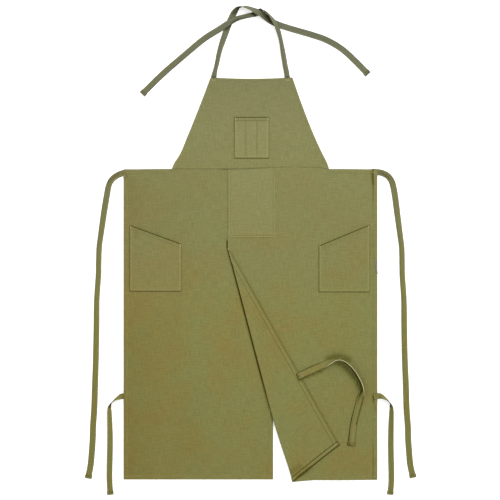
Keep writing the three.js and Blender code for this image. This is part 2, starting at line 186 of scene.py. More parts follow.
# how far painted shade goes towards that brown
PAINTED_SHADE_DEPTH = 0.92
FUZZ = {"Sheen Weight": 0.03, "Sheen Roughness": 0.55, "Sheen Tint": linear("C9C39A")}
GLOSS = 0.18  # none is left where shade is painted
ROUGH = (0.95, 0.82)  # between the threads, and on top of them
SLUB_LIGHT = (0.7, 1.3, 0.87, 1.13)  # thick threads look lighter, thin ones darker
WEAVE_LIGHT = (0.0, 1.0, 0.9, 1.05)
FLECK_LIGHT = (0.3, 0.7, 0.93, 1.07)
LIGHTNESS_UP_APRON = [(-0.6, -0.15, 0.93, 1.0), (0.12, 0.3, 1.0, 1.05), (0.32, 0.45, 1.0, 0.9)]  # lighter and darker bands up the apron
LEFT_DARK = [(-0.34, -0.1, 0.93, 1.0)]  # the panels are darker towards the left side


def woven(name, tones, faded, crease, left_brown, left_dark):
    """Plain-woven cotton: two dye tones, the one it fades to, the tint of its painted shade, and its left
    side.
    """
    material, tree, output = new_material(name)
    flat = add(tree, "ShaderNodeUVMap", uv_map="cloth").outputs["UV"]
    place = add(tree, "ShaderNodeTexCoord").outputs["Object"]
    sideways, height, _ = add(tree, "ShaderNodeSeparateXYZ", None, {0: place}).outputs
    weave, slub, fleck = spun(tree, flat)
    colour = dyed(tree, flat, sideways, height, tones, faded, left_brown)

    # Thick and thin threads, flecks, and slow bands up the apron and towards its left side change how light
    # the dye looks
    lights = [(slub, SLUB_LIGHT), (weave, WEAVE_LIGHT), (fleck, FLECK_LIGHT)]
    lights += [(height, row) for row in LIGHTNESS_UP_APRON] + [(sideways, row) for row in left_dark]
    for value, row in lights:
        light = add(tree, "ShaderNodeMapRange", dict(zip(RANGE, row)), {"Value": value}).outputs[0]
        colour = add(tree, "ShaderNodeVectorMath", None, {0: colour, 1: light},
                     operation="MULTIPLY").outputs[0]

    # Rubbed edges and painted highlights are paler, and painted shade is dark and matt
    for attribute, tone, depth in (("rub_and_highlight", RUB_AND_HIGHLIGHT_PALE, 1.0), ("seam", PAINTED_SHADE_BROWN, PAINTED_SHADE_DEPTH)):
        amount = add(tree, "ShaderNodeAttribute", attribute_name=attribute).outputs["Fac"]
        share = add(tree, "ShaderNodeMath", {1: depth}, {0: amount}, operation="MULTIPLY",
                    use_clamp=True).outputs[0]
        colour = add(tree, "ShaderNodeMix", {7: linear(tone)}, {0: share, 6: colour},
                     data_type="RGBA").outputs[2]
    # painted shade also turns warmer, by the crease tone, as it darkens
    colour = add(tree, "ShaderNodeMix", {7: linear(crease)}, {0: share, 6: colour}, data_type="RGBA",
                 blend_type="MULTIPLY").outputs[2]
    gloss = add(tree, "ShaderNodeMapRange", {"To Min": GLOSS, "To Max": 0.0}, {"Value": share}).outputs[0]

    # Relief: the weave, with the slubs as slow swellings
    relief = add(tree, "ShaderNodeMath", {1: SLUB_DEPTH}, {0: slub, 2: weave},
                 operation="MULTIPLY_ADD").outputs[0]
    bump = add(tree, "ShaderNodeBump", {"Strength": 0.7, "Distance": WEAVE_DEPTH * METRE},
               {"Height": relief}).outputs[0]
    rough = add(tree, "ShaderNodeMapRange", {"To Min": ROUGH[0], "To Max": ROUGH[1]},
                {"Value": weave}).outputs[0]
    shader = add(tree, "ShaderNodeBsdfPrincipled", FUZZ,
                 {"Base Color": colour, "Roughness": rough, "Normal": bump, "Specular IOR Level": gloss})
    tree.links.new(shader.outputs[0], output.inputs["Surface"])
    return material


# the tones FFFF7C and FFFFF0 tint each cloth's painted shade
canvas = woven("olive_cotton_canvas", ("796E39", "747442"), "757550", "FFFF7C", LEFT_BROWN, LEFT_DARK)
tape = woven("olive_cotton_tie_canvas", ("726A34", "6E6E3A"), "656752", "FFFFF0", TIE_BROWN, [])
print("materials:", canvas.name, tape.name)

# %% [markdown]
# ## Thread, label tape and floor
#
# The seams are sewn with spun polyester thread a shade lighter than the cloth, which has a slight gloss. The
# small tag on the right side is woven label tape: finer yarn, greyer, and left blank. The floor is a plain
# pale board. It glows a little, like a light table, so that only the deeper shadows show on it.

# %% Thread, label and floor materials
GRAIN_DEPTH = 0.05
SLIGHT_GLOSS = {"Specular IOR Level": 0.35, "Sheen Weight": 0.1, "Emission Color": linear("FFFFFF")}


def fine_grained(name, tones, grain, rough, glow=0.0):
    """Two tones in grain of this size, with a slight gloss, and a glow of its own."""
    material, tree, output = new_material(name)
    place = add(tree, "ShaderNodeTexCoord").outputs["Object"]
    grit = add(tree, "ShaderNodeTexNoise", {"Scale": 1 / (grain * METRE), "Detail": 2.0},
               {"Vector": place}).outputs["Fac"]
    colour = add(tree, "ShaderNodeMix", {6: linear(tones[0]), 7: linear(tones[1])}, {0: grit},
                 data_type="RGBA").outputs[2]
    bump = add(tree, "ShaderNodeBump", {"Strength": 0.4, "Distance": GRAIN_DEPTH * METRE},
               {"Height": grit}).outputs[0]
    shader = add(tree, "ShaderNodeBsdfPrincipled",
                 {**SLIGHT_GLOSS, "Roughness": rough, "Emission Strength": glow},
                 {"Base Color": colour, "Normal": bump})
    tree.links.new(shader.outputs[0], output.inputs["Surface"])
    return material


thread = fine_grained("spun_polyester_thread", ("988E54", "ABA268"), 0.5, 0.6)
label_tape = fine_grained("woven_label_tape", ("675D54", "7B7068"), 0.4, 0.55)
board = fine_grained("pale_painted_board", ("FBFBFA", "FEFEFD"), 180.0, 0.8, glow=0.28)
print("materials:", thread.name, label_tape.name, board.name)

# %% [markdown]
# ## Floor and light
#
# The picture's light is soft and comes from the upper right, so the left and lower edges of each piece have a
# thin dark line. A large lamp on that side makes part of those lines, and painted shade along the rims makes
# them darker. An even pale surround fills the shadows.

# %% Floor, lamps and surround
FLOOR_SIZE = 12.0
FLOOR_DROP = 0.0007  # keeps the floor just clear of the stitches under the cloth
KEY = {"place": (3.9, 4.3, 5.6), "size": 4.5, "watts": 420.0}
FILL = {"place": (-3.0, -1.0, 4.0), "size": 3.0, "watts": 26.0}
SURROUND = 0.9

bm = bmesh.new()
bmesh.ops.create_grid(bm, x_segments=8, y_segments=8, size=FLOOR_SIZE / 2)
bmesh.ops.translate(bm, verts=bm.verts, vec=(0, 0, -FLOOR_DROP))
floor_mesh = bpy.data.meshes.new("floor")
bm.to_mesh(floor_mesh)
bm.free()
floor_mesh.materials.append(board)
floor = bpy.data.objects.new("floor", floor_mesh)
bpy.context.collection.objects.link(floor)

for name, lamp in (("key_lamp", KEY), ("fill_lamp", FILL)):
    data = bpy.data.lights.new(name, "AREA")
    data.energy = lamp["watts"]
    data.size = lamp["size"]
    light = bpy.data.objects.new(name, data)
    light.location = lamp["place"]
    light.rotation_euler = Vector(lamp["place"]).to_track_quat("Z", "Y").to_euler()
    bpy.context.collection.objects.link(light)

world = bpy.data.worlds.new("pale_surround")
world.use_nodes = True
world.node_tree.nodes["Background"].inputs["Color"].default_value = linear("FFFFFF")
world.node_tree.nodes["Background"].inputs["Strength"].default_value = SURROUND
bpy.context.scene.world = world
bpy.context.scene.view_settings.view_transform = "Standard"
print("light: key", KEY["watts"], "W, fill", FILL["watts"], "W, surround", SURROUND)

# %% [markdown]
# ## Laying cloth
#
# Each piece starts as a flat grid with close lines where a hem or a seam runs. Extruding the whole grid gives
# the cloth a back and a rim in one step. Then every point is moved by a function that says where the face and
# the back of the cloth lie. A grid with chosen lines keeps hems crisp with few faces, which subdividing the
# whole sheet wouldn't. A small bevel rounds the folded rims.

# %% Curves and grid lines
LINE_GAP = 0.6  # between lines of a grid, at least


def smooth(value, low, high):
    """0 below low, 1 above high, and an even curve between."""
    share = np.clip((np.asarray(value, float) - low) / (high - low), 0, 1)
    return share * share * (3 - 2 * share)


def fall(value, low, high):
    """1 below low, 0 above high."""
    return 1 - smooth(value, low, high)


def between(value, rising, falling):
    """1 between two ramps, 0 outside them."""
    return smooth(value, *rising) * fall(value, *falling)


def grid_lines(start, end, step, near_start=(0,), near_end=(0,)):
    """Lines from start to end: close ones at these distances from the ends, even ones between."""
    low, high = start + near_start[-1], end - near_end[-1]
    even = np.linspace(low, high, max(round((high - low) / step), 1) + 1)
    first = [start + away for away in near_start[:-1]]
    last = [end - away for away in reversed(near_end[:-1])]
    return np.array([*first, *even, *last])


def with_lines(lines, *extra):
    """The lines with some more, leaving out old ones that would lie too close to a new one."""
    extra = np.concatenate(extra)
    apart = [np.min(np.abs(extra - line)) > LINE_GAP for line in lines]
    return np.sort(np.concatenate([lines[apart], extra]))


print("even lines with a hem's close ones:", grid_lines(0, 60, 12, (0, 3, 9), (0, 3)))

# %% From a flat grid to a piece of cloth
CLOTH = 0.9  # one layer of canvas
RIM = 0.35  # rounding of a folded edge
RIM_ANGLE = 50.0  # edges sharper than this are rounded
SNAP = 0.05  # a cut this close to a grid point goes through it
FLAT_AREA = {}  # of each piece's pattern, in square millimetres


def finish_piece(bm, name, material):
    """A smooth-shaded object from the bmesh, with its folded rims rounded."""
    bmesh.ops.recalc_face_normals(bm, faces=bm.faces)
    for face in bm.faces:
        face.smooth = True
    mesh = bpy.data.meshes.new(name)
    bm.to_mesh(mesh)
    bm.free()
    mesh.materials.append(material)
    piece = bpy.data.objects.new(name, mesh)
    bpy.context.collection.objects.link(piece)
    rim = piece.modifiers.new("rim", "BEVEL")
    rim.width = RIM * METRE
    rim.segments = 2
    rim.limit_method = "ANGLE"
    rim.angle_limit = np.radians(RIM_ANGLE)
    return piece


def cloth(name, material, columns, rows, cut, laid, folds=()):
    """A closed piece of cloth. cut gives a grid point's place on the pattern, and laid its face and back."""
    bm = bmesh.new()
    across, up = len(columns) - 1, len(rows) - 1
    bmesh.ops.create_grid(bm, x_segments=across, y_segments=up, size=0.5)
    for v in bm.verts:
        column, row = round((v.co.x + 0.5) * across), round((v.co.y + 0.5) * up)
        v.co = (*cut(columns[column], rows[row]), 0)
    for point, normal in folds:
        geometry = bm.verts[:] + bm.edges[:] + bm.faces[:]
        bmesh.ops.bisect_plane(bm, geom=geometry, dist=SNAP, plane_co=point, plane_no=normal)
    FLAT_AREA[name] = sum(face.calc_area() for face in bm.faces)
    made = bmesh.ops.extrude_face_region(bm, geom=bm.faces[:])["geom"]
    face_side = {v for v in made if isinstance(v, bmesh.types.BMVert)}

    pattern = bm.loops.layers.uv.new("cloth")
    for face in bm.faces:
        for loop in face.loops:
            loop[pattern].uv = loop.vert.co.xy * METRE
    flat = np.array([v.co.xy for v in bm.verts])
    on_face = np.array([v in face_side for v in bm.verts])
    # laid also gives painted shade, kept in the attribute called seam, and paleness for rubbed edges and
    # painted highlights
    face_points, back_points, seam, rub_and_highlight = laid(flat[:, 0], flat[:, 1])
    points = np.where(on_face[:, None], face_points, back_points) * METRE
    painted_shade_layer = bm.verts.layers.float.new("seam")
    rub_and_highlight_layer = bm.verts.layers.float.new("rub_and_highlight")
    for v, point, painted_shade, paleness in zip(bm.verts, points, seam, rub_and_highlight):
        v.co = point
        v[painted_shade_layer] = painted_shade
        v[rub_and_highlight_layer] = paleness
    large = [face for face in bm.faces if len(face.verts) > 4]
    bmesh.ops.triangulate(bm, faces=large)
    return finish_piece(bm, name, material)


print("a layer of canvas is", CLOTH, "mm thick, and its rims are rounded by", RIM, "mm")

# %% [markdown]
# ## Hems and the lie of the cloth
#
# A hem is the edge turned under twice and sewn down, so it is thicker, and its stitches pull a small furrow
# along its inner side. Sewing also gathers the edge a little, which shows as puckers. Between the hems the
# cloth isn't quite flat: long low swells remain where it was folded and handled. All the pieces share one
# field of swells, so that cloth on top follows the cloth under it and nothing cuts through.

# %% Hems, puckers and swells
HEM = 11.0
HEM_EXTRA = 0.9  # two more pressed layers
HEM_SLOPE = 0.8
STITCH_IN = 8.8  # from the edge to the hem's seam
FURROW = 0.3
FURROW_WIDTH = 1.1
PANEL_SEAM = 0.25  # shade in a hem's furrow
PUCKER = 0.22
PUCKER_LENGTH = 19.0
PUCKER_DRIFT = 57.0  # the puckers' spacing changes slowly, over this length
PUCKER_REACH = 9.0
HEM_RUB = 0.12  # how far a hem's edge is rubbed
HEM_RUB_WIDTH = 1.5
HEM_LINES = (0, 1.2, 4, 6.4, 7.6, 8.3, 9.3, 10.1, 11.0, 11.9, 13.5, 17.5)

SWELLS = [  # middle x and y, heading of the crest in degrees, half length, half width, height
    (-250, 150, 62, 90, 26, 0.9), (-285, 90, 80, 110, 18, 0.6), (-130, 120, 88, 150, 34, 0.7),
    (130, 140, 100, 120, 40, 0.8), (255, 120, 75, 130, 30, 0.7), (-150, -200, 95, 190, 45, 0.9),
    (-265, -260, 84, 160, 30, 0.7), (-30, -350, 100, 170, 36, 0.8), (-190, -480, 20, 150, 38, 0.8),
    (-60, -540, -12, 110, 30, 0.7), (235, -220, 70, 150, 42, 0.8), (190, -420, 35, 130, 34, 0.7),
    (250, -540, -8, 120, 30, 0.7), (-70, 360, 70, 90, 26, 0.7), (75, 330, 112, 100, 28, 0.8),
    (10, 410, 5, 90, 18, 0.5),
]
UNEVEN = [(0.10, 61, 23), (0.09, -37, 83), (0.07, 131, -47), (0.06, 29, 41)]  # height, wave across, wave up


def near(away, width=FURROW_WIDTH):
    """1 on a line, falling off evenly to both sides of it."""
    return np.exp(-((away / width) ** 2))


def swell(x, y):
    """Height of the cloth's slow swells over a flat lie."""
    total = np.zeros_like(x)
    for middle_x, middle_y, heading, length, width, height in SWELLS:
        turn = np.radians(heading)
        along = (x - middle_x) * np.cos(turn) + (y - middle_y) * np.sin(turn)
        across = (y - middle_y) * np.cos(turn) - (x - middle_x) * np.sin(turn)
        total += height * near(along, length) * near(across, width)
    for height, wave_x, wave_y in UNEVEN:
        total += height * (1 + np.sin(x / wave_x + y / wave_y))
    return total


def hem(edges, deep=HEM, stitch=STITCH_IN, layers=HEM_EXTRA):
    """Extra thickness, furrow, pucker, seam and worn paleness of hems, from distances off and along their
    edges.
    """
    away = np.stack([distance for distance, _ in edges])
    along = np.stack([place for _, place in edges])
    extra = layers * fall(away, deep - HEM_SLOPE, deep + HEM_SLOPE).max(0)
    seam = near(away - stitch).max(0)
    wave = 1 + np.sin(2 * np.pi * along / PUCKER_LENGTH + 2 * np.sin(along / PUCKER_DRIFT))
    pucker = (PUCKER * wave * near(away, PUCKER_REACH)).max(0)
    rub_and_highlight = HEM_RUB * fall(away, 0, HEM_RUB_WIDTH).max(0)
    return extra, FURROW * seam, pucker, seam, rub_and_highlight


def strokes(rows, x, y):
    """Painted shade in soft dark strokes, deep in a knot or under a fold. Rows: one end, other end, half
    width, darkness.
    """
    dark = np.zeros_like(x)
    for (x0, y0), (x1, y1), width, amount in rows:
        run_x, run_y = x1 - x0, y1 - y0
        share = np.clip(((x - x0) * run_x + (y - y0) * run_y) / (run_x ** 2 + run_y ** 2), 0, 1)
        away = np.hypot(x - x0 - share * run_x, y - y0 - share * run_y)
        dark = np.maximum(dark, amount * near(away, width))
    return dark


crests = swell(*np.meshgrid(np.arange(-336, 336, 8.0), np.arange(-608, 456, 8.0)))
print("swells up to", round(float(crests.max()), 2), "mm")

# %% [markdown]
# ## Left leg panel
#
# The skirt's left half is one straight panel, hemmed all round, with its top edge sewn up behind the bib. It
# lies on the floor, and rises only over the sewn ends of the waist tie and the leg tie at its outer edge.

# %% Edges of the skirt
HALF_WIDTH = 336.0
OVERLAP = 60.0  # each panel reaches this far past the middle
WAIST_Y = 214.0
HEM_Y = -608.5
CORNER_DROP = 1.0  # of the skirt's top edge at its outer corners
CORNER_START = 230.0  # from the middle
DROP_RUN = (WAIST_Y - 90, WAIST_Y - 20)  # rows of the grid that drop with it
SEAM_LAP = 10.0
SEAM_HALF_WIDTH = 204.0
SEAM_SLANT = 8.0
SEAM_ENDS = (SEAM_HALF_WIDTH - 6, SEAM_HALF_WIDTH + 6)  # the bib's cover ends between these
COVERED = 40.0  # an edge under the bib counts as this much further off
STEP = 7.0  # spacing of even grid lines
TIE_RISE = 1.9  # of cloth over a tie's end
DRAPE = 14.0  # run over which cloth comes down from what lifts it

TUCKED = {  # sewn tie ends under the cloth: middle x and y, half width and half height
    "neck_left": (-97.5, 448, 12, 9), "neck_right": (98, 448, 12, 9),
    "waist_left": (-328, 204, 9, 11), "waist_right": (328, 206, 9, 11),
    "leg_left": (-328, -387, 9, 11),
}


def rise_over(end, x, y):
    """Rise of cloth over a tucked tie end: whole above it, gone a drape's run away."""
    middle_x, middle_y, half_x, half_y = TUCKED[end]
    beside = np.maximum(np.abs(x - middle_x) - half_x, np.abs(y - middle_y) - half_y)
    return TIE_RISE * fall(beside, 0, DRAPE)


def corner_drop(x):
    """How far the skirt's top edge drops towards its outer corners."""
    return CORNER_DROP * smooth(np.abs(x), CORNER_START, HALF_WIDTH)


def skirt_top(x):
    """Upper edge of the skirt: higher where it runs up behind the bib."""
    past = np.clip((abs(x) - SEAM_HALF_WIDTH + SEAM_SLANT) / SEAM_SLANT, 0, 1)
    return WAIST_Y - corner_drop(x) + SEAM_LAP * (1 - past)


def waist_edge(x, y):
    """Distance from the skirt's free top edge, which is far off where the bib covers it."""
    return WAIST_Y - corner_drop(x) - y + COVERED * fall(np.abs(x), *SEAM_ENDS)


def left_leg_cut(x, y):
    """Place on the flat pattern: only the top row runs up behind the bib."""
    return x, skirt_top(x) if y == WAIST_Y else y - corner_drop(x) * smooth(y, *DROP_RUN)


print("skirt:", 2 * HALF_WIDTH, "mm wide,", WAIST_Y - HEM_Y, "mm long")

# %% Left leg panel
APEX = (-OVERLAP, 7.0)  # where the other panel's folded corner starts
FOLD_ANGLE = np.radians(14.65)
SIN, COS = np.sin(FOLD_ANGLE), np.cos(FOLD_ANGLE)
# painted shadow of the folded corner: a dark strip on this panel along the fold
CREASE_CUTS = (-8.0, -5.5, -3.8, -2.5, -1.2, 0.2, 1.8, 4.0)
CREASE_MIDDLE = -1.0
CREASE_WIDTH = 2.9
CREASE_TOP = (22.0, 28.0)  # it begins between these heights
CREASE_FADE = (330.0, 430.0)  # and loses some of its strength between these distances along the fold
CREASE_LOSS = 0.5
LEFT_SHADE = [  # painted shade at the waist tie's root, along soft creases below it, and broadly above the hem
    ((-330, 203), (-325, 193), 2.5, 0.5), ((-316, 180), (-318, 105), 16, 0.06),
    ((-272, 190), (-302, 100), 7, 0.04), ((-330, -260), (-330, -600), 75, 0.06),
    ((-150, -420), (-170, -600), 60, 0.03)]


def from_fold(x, y):
    """Distance along the fold from its apex, and distance to its right."""
    return (x - APEX[0]) * SIN - (y - APEX[1]) * COS, (x - APEX[0]) * COS + (y - APEX[1]) * SIN


def cuts_along_fold(places):
    """Planes parallel to the fold, for bisect_plane."""
    return [((APEX[0] + away * COS, APEX[1] + away * SIN, 0), (COS, SIN, 0)) for away in places]


def left_leg_laid(x, y):
    """Face, back, painted shade and paleness of the left leg panel."""
    edges = [(x + HALF_WIDTH, y), (OVERLAP - x, y), (y - HEM_Y, x), (waist_edge(x, y), x)]
    extra, furrow, pucker, seam, rub_and_highlight = hem(edges)
    lift = swell(x, y) + pucker + rise_over("waist_left", x, y) + rise_over("leg_left", x, y)
    back = np.stack([x, y, lift], 1)
    face = np.stack([x, y, lift + CLOTH + extra - furrow], 1)
    distance, beside = from_fold(x, y)
    beside = np.where(y > APEX[1], x - APEX[0], beside)
    # painted shadow of the folded corner, along the fold
    crease = near(beside - CREASE_MIDDLE, CREASE_WIDTH) * fall(y, *CREASE_TOP)
    crease = crease * (1 - CREASE_LOSS * smooth(distance, *CREASE_FADE))
    shade = np.max([PANEL_SEAM * seam, crease, strokes(LEFT_SHADE, x, y)], axis=0)
    return face, back, shade, rub_and_highlight


left_leg = cloth(
    "left_leg_canvas", canvas,
    with_lines(grid_lines(-HALF_WIDTH, OVERLAP, STEP, HEM_LINES, HEM_LINES),
               APEX[0] + np.array(CREASE_CUTS)),
    grid_lines(HEM_Y, WAIST_Y, STEP, HEM_LINES, HEM_LINES),
    left_leg_cut, left_leg_laid, cuts_along_fold(CREASE_CUTS),
)
print(left_leg.name, len(left_leg.data.polygons), "faces")

# %% [markdown]
# ## Right leg panel
#
# The right half mirrors the left one and lies over it at the middle. Its free lower corner is folded back
# over itself, so the back of the cloth shows there with its turned hem. The fold is a straight line from an
# apex, with a bend that opens from tight to loose. The flat grid is cut along lines parallel to the fold with
# bisect_plane, so the bend has its own rows of faces, and then each point is rolled over the bend.

# %% The fold
FOLD_LENGTH = 650.0
FOLD_RADIUS = (0.9, 2.0)  # at the apex, at the hem
FOLD_OPENS = (-2.0, 14.0)  # from no turn at all to the whole half turn, along the fold
FOLD_SETTLE = 30.0
FLAP_REST = 1.6
SWAY = 8.0
SWAY_START = 470.0
SWAY_REACH = 150.0
LAYER = 1.3  # rise that one panel gives to the next
RIDGE = 2.4  # rise over the left panel's hem and its tie
RIDGE_CLIMB = (15.0, 48.0)
RIDGE_DESCENT = (79.0, 150.0)
TINY = 1e-6  # keeps the bend's radius finite where nothing is folded
FOLD_CUTS = np.concatenate([np.arange(-6.5, 7, 1.0), [-9, -13, -18, 10]])


def fold_back(x, y):
    """Where a flat point lies once the corner is folded: x, y, height and how far it has turned over."""
    distance, offset = from_fold(x, y)
    radius_there = np.interp(distance, (0, FOLD_LENGTH), FOLD_RADIUS)
    half = radius_there * np.pi / 2
    turn = np.maximum(np.pi * smooth(distance, *FOLD_OPENS), TINY)
    radius = 2 * half / turn
    angle = turn * np.clip((half - offset) / (2 * half), 0, 1)
    flap = np.maximum(-half - offset, 0)
    bent = half - radius * np.sin(angle) - flap * np.cos(turn)
    free = radius * (1 - np.cos(angle)) + flap * np.sin(turn)
    rest = FLAP_REST + (free - FLAP_REST) * np.exp(-flap / FOLD_SETTLE)
    plan = np.where(offset < half, bent, offset)
    height = np.where(flap > 0, rest, free)
    plan = plan + SWAY * smooth(distance, SWAY_START, FOLD_LENGTH) * fall(plan, 0, SWAY_REACH)
    return APEX[0] + distance * SIN + plan * COS, APEX[1] - distance * COS + plan * SIN, height, angle


def skirt_foot(x):
    """What the right panel lies on: the left panel, then its hem and tie, then the floor."""
    return (LAYER + (RIDGE - LAYER) * smooth(x, *RIDGE_CLIMB)) * fall(x, *RIDGE_DESCENT)


print("the fold's bend opens from", FOLD_RADIUS[0], "to", FOLD_RADIUS[1], "mm")

# %% Cut, seams and flap of the right leg panel
RIGHT_HEM = {"x": (-60, 102, 165, 336), "y": (-595, -617, -611.5, -609.5)}  # lower edge as cut
HEM_EASE = 150.0  # rows up to this far above the hem share its slant
HEM_END = (2.6, 9.0)  # the turned hem's end sticks out past the free edge, over this run
HEM_END_UP = (HEM_Y + HEM - 1, HEM_Y + HEM + 1)  # up to the hem's upper side
BOX_RIGHT_X = 62.0  # seam that holds the hidden edge of the left panel
BOX_FOOT_Y = 35.0  # double seam across the overlap
BOX_SIDE_RUN = (BOX_FOOT_Y - 4, BOX_FOOT_Y)
BOX_FOOT_RUN = ((-54, -50), (BOX_RIGHT_X, BOX_RIGHT_X + 3))
BOX_FOOT_FURROW = 2.4
SEAM_LINES = np.array([-2.2, -1.1, -0.4, 0.4, 1.1, 2.2])
FOOT_LINES = 1.6 * SEAM_LINES
FLAP_RIM = (0.6, 2.4)  # the flap's side rim is in shade out to these distances
LOW_RIM = (1.0, 3.2)  # and the rim of its turned hem out to these
SIDE_FLAP_SHADE = (0.42, 0.28)  # of the flap's free edge, and of the line along its hem
PAST_HEM = (HEM - 0.5, HEM + 1)  # that line starts above the turned hem


def right_leg_cut(x, y):
    """Place on the flat pattern: the lower edge isn't quite straight, and the top runs up behind the bib."""
    slant = np.interp(x, RIGHT_HEM["x"], RIGHT_HEM["y"]) - HEM_Y
    drop = slant * fall(y, HEM_Y + HEM, HEM_Y + HEM_EASE) - corner_drop(x) * smooth(y, *DROP_RUN)
    out = HEM_END[0] * fall(x + OVERLAP, 0, HEM_END[1]) * fall(y, *HEM_END_UP)
    return x - out, skirt_top(x) if y == WAIST_Y else y + drop


def box_seams(x, y):
    """Nearness to the seams that hold the two panels together above the split."""
    side = near(x - BOX_RIGHT_X) * smooth(y, *BOX_SIDE_RUN)
    foot = near(np.abs(y - BOX_FOOT_Y) - BOX_FOOT_FURROW) * between(x, *BOX_FOOT_RUN)
    return np.maximum(side, foot)


def flap_shade(side, lowest):
    """Shade on the back of the folded corner: its rims, and the lines along its hems."""
    side_line = near(side - HEM) * smooth(lowest, *PAST_HEM)
    return np.max([SIDE_FLAP_SHADE[0] * fall(side, *FLAP_RIM), SIDE_FLAP_SHADE[1] * side_line,
                   fall(lowest, *LOW_RIM), near(lowest - HEM)], axis=0)


print("the panels are sewn together for", WAIST_Y - BOX_FOOT_Y, "mm above the split")

# %% Right leg panel
PRESSED = 0.75  # how far the overlap's edge is pressed flat above the split
PRESSED_UP, PRESSED_ACROSS = (15, 45), (-45, 0)
SEWN_UP = (20, 45)  # the edge is sewn down above these
EDGE_PRESS = (0.65, 3.0)  # a sewn-down edge is this much thinner, over this width
FOLD_HIGHLIGHT = 0.8  # how pale the bend is painted near its apex: a painted highlight
BEND = (1.6, 0.7)  # angle of the middle of that painted highlight, and its half width
BEND_RUN = (25, 110)
DOUBLED_PALE = 0.05  # cloth that lies over other cloth is a little paler
DOUBLED_ACROSS, DOUBLED_UP = ((-60, -50), (55, 65)), (30, 40)
RIGHT_SHADE = [  # painted shade at the flap's lower corner, under the leg tie, and at the roots of the ties
    ((107, -588), (130, -574), 8, 0.3), ((132, -592), (158, -577), 7, 0.28),
    ((125, -600), (150, -585), 5, 0.5), ((205, -288), (234, -281), 8, 0.5),
    ((234, -281), (262, -291), 7.5, 0.48), ((232, -300), (246, -306), 6, 0.5),
    ((246, -306), (280, -343), 6, 0.55), ((280, -343), (294, -377), 5, 0.55),
    ((128, -346), (192, -320), 3.4, 0.5), ((321, 206), (326, 172), 2.6, 0.75),
    ((326, -383), (326, -404), 2.2, 0.7), ((327, -404), (331, -425), 2.5, 0.3)]
OPEN_HEM = (0.9, 0.45)  # painted shade where the right side hem stands open, at its top and at its foot
OPEN_TOP, OPEN_FOOT = (90, 190), (-560, -470)
LIFT_OFF = 0.05  # keeps two layers from touching
NUDGE = 0.05  # step over which the cloth's slope is measured


def unit(directions):
    """Directions of length one."""
    return directions / np.linalg.norm(directions, axis=1)[:, None]


def right_leg_middle(x, y):
    """Middle of the panel's single layer, without its hems."""
    laid_x, laid_y, height, _ = fold_back(x, y)
    foot = skirt_foot(laid_x) + swell(laid_x, laid_y) + rise_over("waist_right", laid_x, laid_y)
    return np.stack([laid_x, laid_y, foot + height + CLOTH / 2 + LIFT_OFF], 1)


def right_leg_laid(x, y):
    """Face, back, painted shade and paleness of the right leg panel, with a painted highlight on the bend."""
    lower = np.interp(x, RIGHT_HEM["x"], RIGHT_HEM["y"])
    edges = [(x + OVERLAP, y), (HALF_WIDTH - x, y), (y - lower, x), (waist_edge(x, y), x)]
    extra, furrow, pucker, seam, rub_and_highlight = hem(edges)
    extra = extra * (1 - PRESSED * smooth(y, *PRESSED_UP) * fall(x, *PRESSED_ACROSS))
    box = box_seams(x, y)
    span_x = right_leg_middle(x + NUDGE, y) - right_leg_middle(x - NUDGE, y)
    span_y = right_leg_middle(x, y + NUDGE) - right_leg_middle(x, y - NUDGE)
    normal = unit(np.cross(span_x, span_y))
    middle = right_leg_middle(x, y)
    angle = fold_back(x, y)[3]
    upright = (1 + np.cos(angle)) / 2
    middle[:, 2] += extra * upright + pucker
    press = EDGE_PRESS[0] * fall(x + OVERLAP, 0, EDGE_PRESS[1]) * smooth(y, *SEWN_UP)
    face = middle + normal * (CLOTH / 2 - press - (furrow + FURROW * box) * upright)[:, None]
    back = middle - normal * (CLOTH / 2 + extra - furrow * (1 - upright))[:, None]
    open_hem = OPEN_HEM[0] * smooth(y, *OPEN_TOP) + OPEN_HEM[1] * fall(y, *OPEN_FOOT)
    on_face = np.max([PANEL_SEAM * seam, PANEL_SEAM * box, open_hem * near(HALF_WIDTH - x - HEM)], axis=0)
    on_flap = flap_shade(np.minimum(x + OVERLAP, HALF_WIDTH - x), y - lower)
    shade = np.maximum(on_face * upright + on_flap * (1 - upright),
                       strokes(RIGHT_SHADE, middle[:, 0], middle[:, 1]))
    bend = near(angle - BEND[0], BEND[1]) * fall(from_fold(x, y)[0], *BEND_RUN)
    doubled = between(x, *DOUBLED_ACROSS) * smooth(y, *DOUBLED_UP)
    return face, back, shade, rub_and_highlight * upright + FOLD_HIGHLIGHT * bend + DOUBLED_PALE * doubled


right_columns = grid_lines(-OVERLAP, HALF_WIDTH, STEP, HEM_LINES, HEM_LINES)
right_rows = grid_lines(HEM_Y, WAIST_Y, STEP, HEM_LINES, HEM_LINES)
right_leg = cloth(
    "right_leg_canvas", canvas,
    with_lines(right_columns, BOX_RIGHT_X + SEAM_LINES),
    with_lines(right_rows, BOX_FOOT_Y + FOOT_LINES),
    right_leg_cut, right_leg_laid, cuts_along_fold(FOLD_CUTS),
)
print(right_leg.name, len(right_leg.data.polygons), "faces")

# %% [markdown]
# ## Bib
#
# The chest panel narrows to the top, with sides that are nearly straight and flare out at the waist. Its
# lower edge is turned under and sewn over the skirt, so it climbs over both panels at the middle. Its top
# corners rise over the sewn ends of the neck ties. Grid columns keep a fixed distance from the slanted sides,
# so that the hems stay even, and share out the rest of the width between them.

